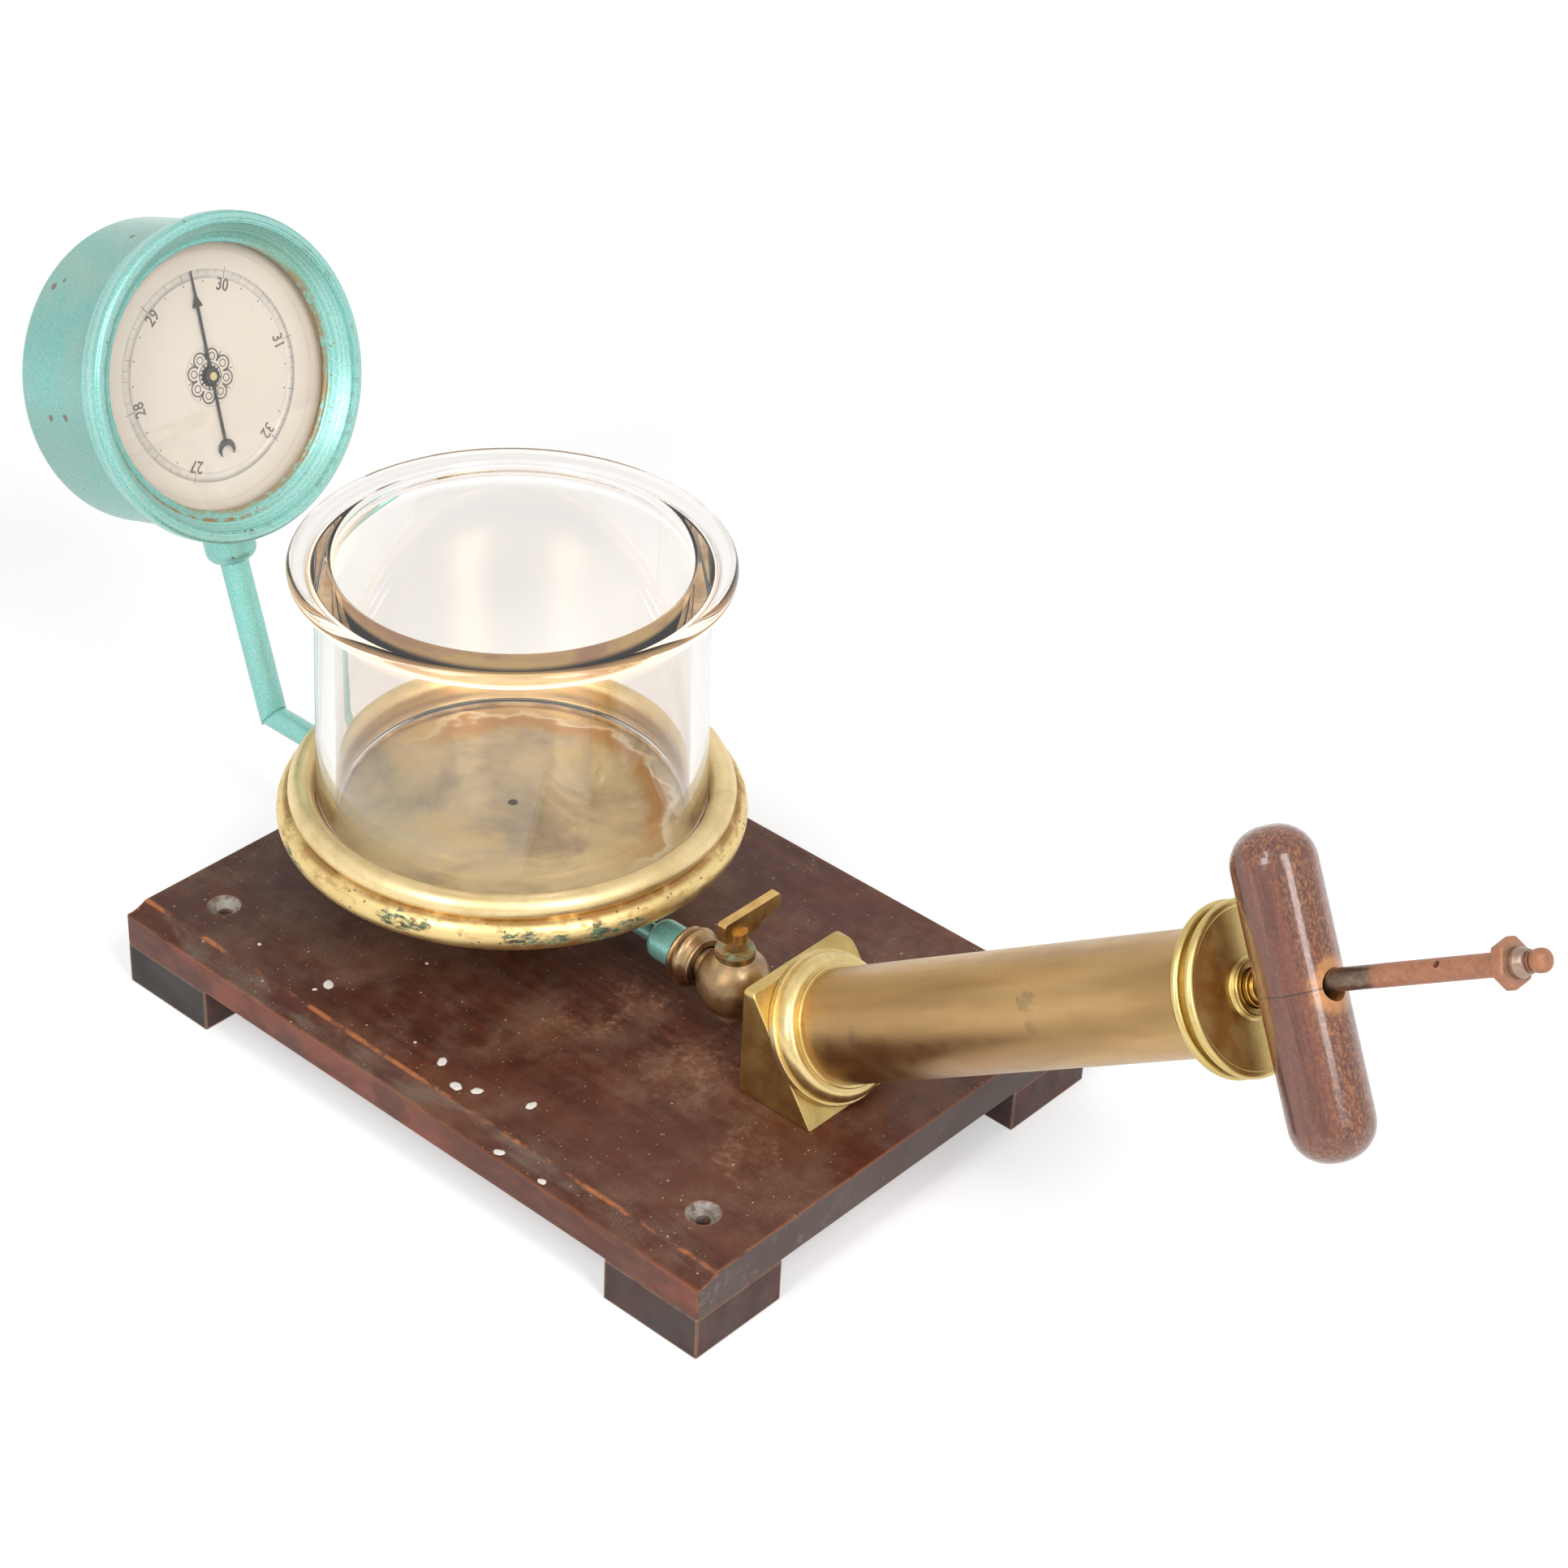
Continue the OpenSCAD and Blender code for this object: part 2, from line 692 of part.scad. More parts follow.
// Gauge pipe with a mitred elbow
module mitre_half(side) {
    turn = atan2(cos(gauge_tilt), -(1 + sin(gauge_tilt)));
    size = 2 * stem_l;
    translate([elbow_x, line_y, line_z])
    rotate([0, -turn, 0])
    translate([side > 0 ? 0 : -size, -size / 2, -size / 2])
    cube(size);
}

module elbow_run(r_flat, r_stem, x_end, s_end) {
    difference() {
        x_bar(r_flat, elbow_x - 3 * r_flat, x_end);
        mitre_half(1);
    }
    difference() {
        at_gauge() post(r_stem, -3 * r_stem, s_end);
        mitre_half(-1);
    }
}

stem_end = stem_l - drum_r - socket_l + 9;
gauge_pipe_end = plate_x - pipe_boss_l + pipe_depth;

module gauge_pipe()
color(teal)
difference() {
    elbow_run(gauge_pipe_r, stem_r, gauge_pipe_end, stem_end);
    x_bar(gauge_bore_r, elbow_x - stem_bore_r, gauge_pipe_end + cut);
    at_gauge() post(stem_bore_r, 0, stem_end + cut);
}

module gauge_socket() {
    low = stem_l - drum_r - socket_l;
    shoulder = 5;
    color(teal)
    difference() {
        union() {
            at_gauge() rotate_extrude() polygon(concat(
                [[0, low], [stem_r + 0.8, low]],
                arc(socket_r - shoulder, low + shoulder, shoulder, -60, 0, 6),
                [[socket_r, stem_l - drum_r + 2], [0, stem_l - drum_r + 2]]
            ));
        }
        at_case() post(drum_r, case_back, bezel_front);
        at_gauge() post(stem_r + screw_fit, low - cut, stem_end);
        at_gauge() post(stem_bore_r, low, stem_l);
    }
    color(teal)
    at_gauge()
    difference() {
        post(case_spigot_r, stem_end + 3, stem_l - drum_in + 2);
        post(stem_bore_r, stem_end, stem_l);
    }
}

// Gauge case
module gauge_case()
color(teal)
difference() {
    at_case() rotate_extrude() polygon(concat(
        [[0, case_back]],
        arc(drum_r - drum_round, case_back + drum_round, drum_round, -90, 0, 8),
        [
            [drum_r, drum_front], [drum_in, drum_front],
            [drum_in, dial_back], [ring_in, dial_back],
            [ring_in, dial_back - ledge_t], [drum_in, dial_back - ledge_t - ledge_w]
        ],
        arc(drum_r - drum_round, case_back + drum_round, drum_round - drum_wall, 0, -90, 6),
        [[0, case_floor]]
    ));
    at_gauge() post(case_spigot_r + screw_fit, stem_l - drum_r - 4, stem_l - drum_r + 6);
    movement_screw_at()
        translate([0, 0, -cut]) cylinder(r = movement_screw_r + screw_fit, h = drum_back_t + 2 * cut);
}

module bezel() {
    band_back = bezel_front - bezel_band;
    skirt_back = band_back - skirt_l;
    skirt_in = drum_r + drop_fit;
    skirt_out = skirt_in + skirt_wall;
    color(teal)
    at_case() rotate_extrude() polygon(concat(
        [
            [skirt_in, skirt_back], [skirt_out, skirt_back], [skirt_out, band_back],
            [bezel_r - 0.8, band_back], [bezel_r, band_back + 0.8]
        ],
        arc(bezel_r - 1.6, bezel_front - 1.6, 1.6, 0, 90, 5),
        [[bezel_r - 2.6, bezel_front], [bezel_r - 3, bezel_front - 0.7], [bezel_r - 3.8, bezel_front - 0.7]],
        [[bezel_r - 4.2, bezel_front - 1.6], [bezel_r - 5.4, bezel_front - 2]],
        [[opening_r + 2.2, lip_back + lip_t + 1], [opening_r + 1.6, lip_back + lip_t]],
        arc(opening_r + 0.8, lip_back + 0.8, 0.8, 90, 180, 4),
        [[opening_r, lip_back], [skirt_in, lip_back]]
    ));
}

module dial_glass()
color(glass_tint)
at_case() post(inlay_r, glass_back, glass_front);

module glass_gasket()
color(rubber_grey)
at_case() tube(inlay_r, ring_in, glass_front, lip_back);

module glass_spacer()
color(dull_brass)
at_case() tube(inlay_r, ring_in, dial_front, glass_back);

module dial_plate()
color(paper_white)
at_case() tube(inlay_r, arbor_r + 1, dial_back, dial_front);

// Pointer and arbor
module pointer() {
    half = 0.5;
    head_k = 0.66;
    head_half = 2.3;
    moon_r = 3.8;
    color(black_paint)
    at_case()
    rotate([0, 0, -pointer_angle])
    translate([0, 0, pointer_z])
    difference() {
        union() {
            linear_extrude(pointer_t)
            polygon([
                [tail_l - moon_r + 0.6, -half], [tail_l - moon_r + 0.6, half],
                [-pointer_l * head_k, half], [-pointer_l * head_k, head_half],
                [-pointer_l * (head_k + 0.1), half], [-pointer_l, 0.15],
                [-pointer_l, -0.15], [-pointer_l * (head_k + 0.1), -half],
                [-pointer_l * head_k, -head_half], [-pointer_l * head_k, -half]
            ]);
            linear_extrude(pointer_t)
            difference() {
                translate([tail_l, 0]) circle(r = moon_r);
                translate([tail_l + 1.6, 0]) circle(r = moon_r - 0.9);
            }
            cylinder(r = hub_r, h = hub_h - pointer_gap);
        }
        translate([0, 0, -cut]) cylinder(r = arbor_r, h = hub_h + 2 * cut);
    }
}

module pointer_arbor() {
    collet_top = collet_z + collet_h;
    color(brass)
    at_case() {
        post(arbor_r, arbor_low, dial_front + hub_h + arbor_dot_h);
        post(chain_drum_r, chain_z - chain_h, chain_z + chain_h);
        post(collet_r, collet_z, collet_top);
        post(hub_r / 2, dial_front + hub_h, dial_front + hub_h + arbor_dot_h);
    }
}

// Gauge movement
module movement_screw_at()
at_case()
for (a = [90, 210, 330])
rotate([0, 0, a]) translate([movement_screw_pcd / 2, 0, case_back]) children();

module movement_screws()
color(steel)
movement_screw_at() {
    cylinder(r = movement_screw_r, h = drum_back_t + movement_t);
    translate([0, 0, -1.6]) cylinder(r = movement_screw_r * screw_head, h = 1.6);
}

module movement_plate()
color(brass)
difference() {
    at_case() post(movement_r, case_floor, movement_top);
    movement_screw_at() cylinder(r = movement_screw_r + screw_fit, h = drum_back_t + movement_t + cut);
}

module capsule_half(r, z0, z1, rings)
rotate_extrude()
polygon(concat(
    [[0, z0], [r, z0], [r + 0.01, (z0 + z1) / 2], [r, z1]],
    [for (i = [rings : -1 : 1]) each [
        [r * (i - 0.25) / rings, z1 - 0.7], [r * (i - 0.75) / rings, z1]
    ]],
    [[0, z1]]
));

module aneroid_capsule()
color(brass)
at_case() {
    difference() {
        capsule_half(capsule_r, capsule_bottom, capsule_top, 4);
        post(capsule_r - capsule_wall, capsule_bottom + capsule_wall, capsule_top - capsule_wall - 0.7);
    }
    post(5, movement_top, capsule_bottom + eps);
    post(capsule_post_r, capsule_top - eps, mainspring_top + capsule_rivet_h);
}

module mainspring() {
    bend_r = mainspring_h / 2;
    color(steel)
    at_case()
    difference() {
        translate([0, mainspring_w / 2, 0])
        rotate([90, 0, 0])
        linear_extrude(mainspring_w)
        translate([0, movement_top]) {
            translate([28, 0]) square([bend_x - 28 + eps, mainspring_t]);
            translate([-6, mainspring_h - mainspring_t]) square([bend_x + 6 + eps, mainspring_t]);
            translate([bend_x, bend_r])
            difference() {
                circle(r = bend_r);
                circle(r = bend_r - mainspring_t);
                translate([-2 * bend_r, -bend_r]) square([2 * bend_r, 2 * bend_r]);
            }
        }
        post(capsule_post_r + 0.1, capsule_top, mainspring_top + cut);
    }
}

module lever_bracket() {
    play = 0.2;
    color(brass)
    at_case() {
        for (side = [-1, 1])
        translate([lever_pivot_x - 2.5, side * (lever_half + play + cheek_t / 2) - cheek_t / 2, mainspring_top])
        cube([5, cheek_t, lever_mid - mainspring_top + 2]);
        translate([lever_pivot_x, -lever_half - play - cheek_t, lever_mid])
        rotate([-90, 0, 0])
        cylinder(r = lever_pivot_r, h = 2 * (lever_half + play + cheek_t));
    }
}

module main_lever()
color(steel)
at_case()
difference() {
    union() {
        slab(-lever_reach - 2, lever_pivot_x, -lever_half, lever_half, lever_low, lever_low + lever_t);
        slab(-lever_reach - 2, -lever_reach + 2, -lever_half, rocker_y - crank_l + 2, lever_low, lever_low + lever_t);
        translate([lever_pivot_x, -lever_half, lever_mid])
        rotate([-90, 0, 0])
        cylinder(r = 1.9, h = 2 * lever_half);
    }
    translate([lever_pivot_x, -lever_half - cut, lever_mid])
    rotate([-90, 0, 0])
    cylinder(r = lever_pivot_r + pivot_fit, h = 2 * lever_half + 2 * cut);
}

module link_rod()
color(steel)
at_case()
translate([-lever_reach, rocker_y - crank_l, 0])
post(link_r, lever_low + lever_t + link_play, lever_low + lever_t + link_play + link_l);

module rocking_shaft() {
    tip = chain_z - chain_h / 2 - link_play - rocker_z;
    arm_x = chain_drum_r + pivot_fit + chain_w / 2;
    color(steel)
    at_case()
    translate([0, rocker_y, rocker_z]) {
        translate([rocker_left - post_t, 0, 0])
        rotate([0, 90, 0])
        cylinder(r = rocker_r, h = rocker_right - rocker_left + 2 * post_t);
        slab(-lever_reach - 1.5, -lever_reach + 1.5, -crank_l - 0.8, 0, -crank_t / 2, crank_t / 2);
        slab(arm_x - 0.6, arm_x + 0.6, -0.6, 0.6, 0, tip);
    }
}

module movement_chain() {
    side = chain_drum_r + pivot_fit;
    color(dark_steel)
    at_case()
    slab(side, side + chain_w, -chain_tail, rocker_y + 0.5, chain_z - chain_h / 2, chain_z + chain_h / 2);
}

module rocker_post(x)
difference() {
    slab(x, x + post_t, rocker_y - post_w / 2, rocker_y + post_w / 2, movement_top, rocker_z + 3);
    translate([x - cut, rocker_y, rocker_z])
    rotate([0, 90, 0])
    cylinder(r = rocker_r + pivot_fit, h = post_t + 2 * cut);
}

module movement_bridge() {
    half = bridge_w / 2;
    color(brass)
    at_case() {
        rocker_post(rocker_left - post_t);
        rocker_post(rocker_right);
        difference() {
            union() {
                slab(-half, half, bridge_foot_y, 3, bridge_low, bridge_low + bridge_t);
                slab(-half, half, bridge_wall_y, 3, bridge_high, bridge_high + bridge_t);
                slab(-half, half, bridge_wall_y, bridge_wall_y + 2, bridge_low, bridge_high + bridge_t);
                slab(-half, half, bridge_foot_y, bridge_foot_y + 4, movement_top, bridge_low + bridge_t);
            }
            post(arbor_r + pivot_fit, arbor_low - cut, bridge_high + bridge_t + cut);
        }
    }
}

module hairspring() {
    inner = collet_r + 0.1;
    turns = spring_turns * 360;
    steps = spring_turns * spring_steps;
    reach = inner + spring_pitch * spring_turns;
    inner_side = [for (i = [0 : steps]) let (a = i / steps * turns - 90)
        (inner + spring_pitch * spring_turns * i / steps) * [cos(a), sin(a)]];
    outer_side = [for (i = [steps : -1 : 0]) let (a = i / steps * turns - 90)
        (inner + spring_w + spring_pitch * spring_turns * i / steps) * [cos(a), sin(a)]];
    color(steel)
    at_case()
    translate([0, 0, collet_z + 0.2]) {
        linear_extrude(spring_h) polygon(concat(inner_side, outer_side));
        translate([-0.5, bridge_wall_y + 2, 0]) cube([1, -bridge_wall_y - 2 - reach, spring_h]);
    }
}

// Pump pipe and stopcock
union_mid = union_x + union_l / 2;
pump_pipe_start = plate_x + pipe_boss_l - pipe_depth;
pump_pipe_end = nipple_x + 9;

module pump_pipe()
color(teal)
difference() {
    pump_bar(pump_pipe_r, pump_pipe_start, pump_pipe_end);
    pump_bar(passage_r, pump_pipe_start - cut, pump_pipe_end + cut);
}

module pipe_nipple()
color(teal)
difference() {
    union() {
        at_pump_line(nipple_x)
        rotate_extrude()
        polygon(concat(
            [[0, 0]],
            arc(nipple_r - 4, 4, 4, -60, 0, 6),
            [[nipple_r, union_x - nipple_x], [0, union_x - nipple_x]]
        ));
        pump_bar(nipple_r - 0.9, nipple_x + 6, union_mid);
    }
    pump_bar(pump_pipe_r + screw_fit, nipple_x - cut, pump_pipe_end);
    pump_bar(passage_r, nipple_x, union_mid + cut);
}

module union_collar() {
    ring = union_l * 0.2;
    bulge = union_l - 2 * ring;
    ring_r = union_r - 1.2 - ring / 2;
    round = bulge * 0.45;
    color(dull_brass)
    difference() {
        at_pump_line(union_x)
        rotate_extrude()
        polygon(concat(
            [[0, 0]],
            arc(ring_r, ring / 2, ring / 2, -90, 90, 6),
            arc(union_r - round, ring + round, round, -90, 0, 6),
            arc(union_r - round, ring + bulge - round, round, 0, 90, 6),
            arc(ring_r, union_l - ring / 2, ring / 2, -90, 90, 6),
            [[0, union_l]]
        ));
        pump_bar(nipple_r - 0.9 + screw_fit, union_x - cut, union_mid);
        pump_bar(neck_r + screw_fit, union_mid - eps, union_x + union_l + cut);
    }
}

module stopcock_body()
color(bronze)
difference() {
    union() {
        at_pump_line(cock_x) sphere(r = ball_r);
        pump_bar(neck_r, union_mid, cock_x);
        at_pump_line(cock_x + ball_r - 4)
        cylinder(r1 = neck_r, r2 = neck_end_r, h = wedge_x - cock_x - ball_r + 4);
        pump_bar(neck_r, cock_x, cock_x + ball_r);
        translate([cock_x, line_y, pump_line_z]) cylinder(r = boss_r, h = boss_h);
        translate([cock_x, line_y, cock_low]) cylinder(r = boss_r - 0.5, h = ball_r);
    }
    pump_bar(passage_r, union_mid - cut, wedge_x + cut);
    translate([cock_x, line_y, cock_low - cut])
        cylinder(r = plug_r + plug_fit, h = 2 * ball_r + boss_h + 2 * cut);
}

module stopcock_plug() {
    thread_end = cock_low - key_nut_gap - key_nut_h - 0.3;
    color(dull_brass)
    difference() {
        translate([cock_x, line_y, 0]) {
            post(plug_r, cock_low, plug_top);
            post(key_thread_r, thread_end, cock_low + eps);
            slab(-square_w / 2, square_w / 2, -square_w / 2, square_w / 2, plug_top - eps, key_low);
        }
        translate([cock_x, line_y - 2 * plug_r, pump_line_z])
        rotate([-90, 0, 0])
        cylinder(r = passage_r, h = 4 * plug_r);
    }
}

module key_lever() {
    gusset = key_low - (plug_top + key_low) / 2;
    color(dull_brass)
    difference() {
        union() {
            translate([cock_x - key_t / 2, line_y, 0])
            rotate([90, 0, 90])
            linear_extrude(key_t)
            polygon(concat(
                [[-key_short, key_low], [-key_web, key_low - gusset], [key_web, key_low - gusset]],
                arc(key_long * 0.6, key_low - gusset * 0.9, gusset * 0.9, 170, 95, 5),
                [[key_long, key_low + 1], [key_long, key_top - 1], [key_long - 1, key_top]],
                [[-key_short + 1, key_top], [-key_short, key_top - 1]]
            ));
            translate([cock_x, line_y, 0])
            post(square_w / 2 + 1.4, key_low - gusset, key_low + 1);
        }
        translate([cock_x, line_y, 0])
        slab(
            -square_w / 2 - screw_fit, square_w / 2 + screw_fit,
            -square_w / 2 - screw_fit, square_w / 2 + screw_fit,
            key_low - gusset - cut, key_low + screw_fit
        );
    }
}

module key_washer()
color(verdigris)
translate([cock_x, line_y, 0]) tube(boss_r - 0.3, plug_r + plug_fit, cock_boss_z, cock_boss_z + key_washer_t);

module key_nut()
color(dull_brass)
translate([cock_x, line_y, cock_low - key_nut_gap - key_nut_h])
difference() {
    cylinder(r = key_nut_r, h = key_nut_h, $fn = 6);
    translate([0, 0, -cut]) cylinder(r = key_thread_r, h = key_nut_h + 2 * cut);
}

// Wedge and barrel
module wedge_block()
color(brass)
difference() {
    union() {
        translate([0, line_y + wedge_w / 2, 0])
        rotate([90, 0, 0])
        linear_extrude(wedge_w)
        polygon([
            [wedge_x, board_top], [wedge_foot_x, board_top],
            [wedge_x + wedge_top_t, wedge_top], [wedge_x + 0.8, wedge_top], [wedge_x, wedge_top - 0.8]
        ]);
        at_pump() post(bore_r - spigot_slack, -1, wedge_spigot_h);
    }
    translate([0, line_y + wedge_w / 2, wedge_top])
    rotate([45, 0, 0])
    translate([wedge_x - cut, -wedge_w / 2, -wedge_bevel / sqrt(2)])
    cube([wedge_w, wedge_w, wedge_w]);
    pump_bar(passage_r, wedge_x - cut, joint_x + passage_r / 2);
    at_pump() post(passage_r, -(face_x - joint_x) / cos(barrel_tilt), wedge_spigot_h + cut);
    at_pump()
        translate([valve_screw_x, 0, 0])
        post(valve_screw_r + screw_fit, wedge_spigot_h - 5, wedge_spigot_h + cut);
    wedge_screw_at() cylinder(r = wedge_screw_r + screw_fit, h = board_t + wedge_screw_l + screw_fit);
}

module wedge_screws()
color(steel)
wedge_screw_at() countersunk(wedge_screw_r, board_t + wedge_screw_l);

module barrel_gasket()
color(leather)
at_pump() tube(collar_r - 2, bore_r, 0, barrel_gasket_t);

module barrel_collar() {
    bevel = 0.5;
    ring = 1.5;
    ring_r = barrel_r + 1.4;
    edge = barrel_gasket_t + 1.8;
    end = barrel_gasket_t + collar_l;
    swell = end - ring - edge;
    color(bronze)
    at_pump()
    rotate_extrude()
    polygon(concat(
        [
            [barrel_r + screw_fit, barrel_gasket_t], [collar_r - bevel, barrel_gasket_t],
            [collar_r, barrel_gasket_t + bevel], [collar_r, edge - bevel], [collar_r - bevel, edge]
        ],
        [for (a = [0 : 15 : 90]) [
            collar_r - 1 - (collar_r - 1 - ring_r) * (1 - cos(a)),
            edge + swell * sin(a)
        ]],
        [
            [ring_r, end - ring + bevel / 2], [ring_r, end - bevel / 2],
            [ring_r - bevel / 2, end], [barrel_r + screw_fit, end]
        ]
    ));
}

module barrel()
color(bronze)
at_pump() tube(barrel_r, bore_r, barrel_gasket_t, barrel_end);

module end_cap() {
    bead = cap_l * 0.36;
    recess = 1.4;
    color(brass)
    at_pump()
    difference() {
        union() {
            rotate_extrude() polygon(concat(
                [[0, cap_back]],
                arc(cap_r - bead / 2, cap_back + bead / 2, bead / 2, -90, 90, 8),
                [[cap_r - recess - bead / 2, cap_back + bead], [cap_r - recess - bead / 2, cap_k - bead]],
                arc(cap_r - bead / 2, cap_k - bead / 2, bead / 2, -90, 90, 8),
                [[0, cap_k]]
            ));
            post(cap_boss_r, cap_k - eps, boss_k);
        }
        post(barrel_r + screw_fit, cap_back - cut, barrel_end);
        post(rod_r + slide_fit, cap_back, boss_k + cut);
        post(packing_r, packing_k, boss_k + cut);
    }
}

module gland_packing()
color(rubber_grey)
at_pump() tube(packing_r - screw_fit, rod_r + slide_fit, packing_k, gland_k);

module gland_nut()
color(dull_brass)
at_pump()
difference() {
    union() {
        post(packing_r - screw_fit, gland_k, boss_k + 1.4);
        post(gland_r, boss_k, boss_k + gland_l);
    }
    post(rod_r + slide_fit, gland_k - cut, boss_k + gland_l + cut);
}

// Valves and piston
module foot_valve()
color(leather)
at_pump()
difference() {
    post(7.5, wedge_spigot_h, wedge_spigot_h + valve_t);
    translate([valve_screw_x, 0, 0])
        post(valve_screw_r + screw_fit, wedge_spigot_h - cut, wedge_spigot_h + valve_t + cut);
}

module foot_valve_screw()
color(steel)
at_pump()
translate([valve_screw_x, 0, 0]) {
    post(valve_screw_r, wedge_spigot_h - 4, wedge_spigot_h + valve_t + eps);
    post(valve_screw_r * 2, wedge_spigot_h + valve_t, wedge_spigot_h + valve_t + valve_screw_head);
}

module air_holes(z0, z1)
for (side = [-1, 1])
translate([0, side * air_hole_ring, 0]) post(air_hole_r, z0 - cut, z1 + cut);

module piston_rod()
color(dark_steel)
at_pump()
difference() {
    union() {
        post(rod_head_r, piston_k - rod_head_l, piston_k);
        rotate_extrude() polygon(concat(
            [[0, piston_k - eps], [rod_r, piston_k - eps]],
            [
                [rod_r, groove_k - rod_groove], [rod_r - rod_groove, groove_k - rod_groove],
                [rod_r - rod_groove, groove_k]
            ],
            arc(rod_r - rod_round, groove_k + rod_round, rod_round, -90, 0, 4),
            arc(rod_r - rod_round, rod_tip_k - rod_round, rod_round, 0, 90, 6),
            [[0, rod_tip_k]]
        ));
    }
    rotate([0, 0, -cross_turn])
    translate([0, 2 * rod_r, cross_k])
    rotate([90, 0, 0])
    cylinder(r = cross_r, h = 4 * rod_r);
}

module piston_front_disc()
color(brass)
at_pump()
difference() {
    tube(bore_r - piston_slack, rod_r + screw_fit, piston_k, cup_k);
    air_holes(piston_k, cup_k);
}

module leather_cup()
color(leather)
at_pump()
difference() {
    post(bore_r - slide_fit, cup_k, cup_k + cup_l);
    post(bore_r - slide_fit - leather_t, back_disc_k, cup_k + cup_l + cut);
    post(rod_r + screw_fit, cup_k - cut, cup_k + cup_l + cut);
    air_holes(cup_k, back_disc_k);
}

module piston_back_disc()
color(brass)
at_pump()
difference() {
    tube(bore_r - leather_t - piston_slack, rod_r + screw_fit, back_disc_k, piston_valve_k);
    air_holes(back_disc_k, piston_valve_k);
}

module piston_valve()
color(leather)
at_pump() tube(air_hole_ring + air_hole_r + 2, rod_r + screw_fit, piston_valve_k, piston_nut_k);

module hex_nut(r, r_hole, l)
difference() {
    cylinder(r = r, h = l, $fn = 6);
    translate([0, 0, -cut]) cylinder(r = r_hole, h = l + 2 * cut);
}

module piston_nut()
color(steel)
at_pump() translate([0, 0, piston_nut_k]) hex_nut(rod_nut_r, rod_r + screw_fit, piston_nut_l);

module rod_nut()
color(dark_steel)
at_pump()
translate([0, 0, rod_nut_k])
rotate([0, 0, rod_nut_turn])
hex_nut(rod_nut_r, rod_r + screw_fit, rod_nut_l);

// Handle
module handle()
color(red_wood)
at_pump()
difference() {
    translate([handle_drop, 0, handle_k])
    rotate([0, 0, -handle_turn])
    translate([handle_shift - handle_l / 2, 0, 0])
    rotate([0, 90, 0])
    rotate_extrude() polygon(concat(
        [[0, 0]],
        arc(handle_r - handle_round, handle_round, handle_round, -90, 0, 10),
        arc(handle_r - handle_round, handle_l - handle_round, handle_round, 0, 90, 10),
        [[0, handle_l]]
    ));
    translate([handle_drop, 0, 0]) post(handle_hole_r, handle_k - 2 * handle_r, handle_k + 2 * handle_r);
}

baseboard();
foot(-1, -1);  // foot_front_left
foot(1, -1);  // foot_front_right
foot(-1, 1);  // foot_back_left
foot(1, 1);  // foot_back_right
foot_screws();
pillar();
pillar_screws();
pillar_washer();
pump_plate();
receiver_jar();
jar_seal();
gauge_pipe();
gauge_socket();
gauge_case();
bezel();
dial_glass();
glass_gasket();
glass_spacer();
dial_plate();
pointer();
pointer_arbor();
movement_plate();
movement_screws();
aneroid_capsule();
mainspring();
lever_bracket();
main_lever();
link_rod();
rocking_shaft();
movement_chain();
movement_bridge();
hairspring();
pump_pipe();
pipe_nipple();
union_collar();
stopcock_body();
stopcock_plug();
key_lever();
key_washer();
key_nut();
wedge_block();
wedge_screws();
barrel_gasket();
barrel_collar();
barrel();
end_cap();
gland_packing();
gland_nut();
foot_valve();
foot_valve_screw();
piston_rod();
piston_front_disc();
leather_cup();
piston_back_disc();
piston_valve();
piston_nut();
rod_nut();
handle();
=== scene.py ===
"""Looks of a demonstration barometer: an aneroid gauge, a glass receiver on a pump plate and a hand air pump.

Places are in metres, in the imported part's own frame: +X runs from the gauge to the pump handle, +Y away from
the coved edge of the board and +Z up. The origin is the middle of the board, level with the underside of the
feet. The sub-assemblies hold their own sizes in millimetres.
"""

import json
import logging
import math
from dataclasses import dataclass, field
from enum import Enum
from functools import reduce

import bmesh
import bpy
from mathutils import Matrix, Vector

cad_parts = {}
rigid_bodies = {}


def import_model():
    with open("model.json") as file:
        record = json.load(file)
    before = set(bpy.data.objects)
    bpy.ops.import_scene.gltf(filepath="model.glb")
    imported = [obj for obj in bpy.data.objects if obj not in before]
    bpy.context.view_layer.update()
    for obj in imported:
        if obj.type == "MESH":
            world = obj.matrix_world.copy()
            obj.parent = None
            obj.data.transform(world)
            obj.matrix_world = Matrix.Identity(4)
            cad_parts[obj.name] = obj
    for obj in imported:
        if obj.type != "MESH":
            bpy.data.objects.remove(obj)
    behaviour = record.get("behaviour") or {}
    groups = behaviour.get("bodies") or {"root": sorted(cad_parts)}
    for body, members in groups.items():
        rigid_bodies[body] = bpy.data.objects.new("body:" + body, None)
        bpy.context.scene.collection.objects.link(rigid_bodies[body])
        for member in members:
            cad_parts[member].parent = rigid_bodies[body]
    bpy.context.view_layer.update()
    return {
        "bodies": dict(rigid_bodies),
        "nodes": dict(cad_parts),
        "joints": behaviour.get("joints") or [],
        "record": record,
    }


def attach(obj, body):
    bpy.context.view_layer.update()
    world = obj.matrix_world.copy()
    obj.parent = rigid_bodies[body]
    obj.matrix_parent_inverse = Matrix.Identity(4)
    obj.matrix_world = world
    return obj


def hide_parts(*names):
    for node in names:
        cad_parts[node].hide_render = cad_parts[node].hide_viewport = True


LOG = logging.getLogger("barometer")
MM = 0.001
SPIN_WELD = 1e-6
CUT_WELD = 2e-6
UP = (0, 0, 1)
AHEAD = (1, 0, 0)
WHITE = (1, 1, 1, 1)
Triple = tuple[float, float, float]
Quad = tuple[float, float, float, float]
Colour = Quad
Socket = bpy.types.NodeSocket
Value = Socket | float | tuple[float, ...]
Profile = list[tuple[float, float]]


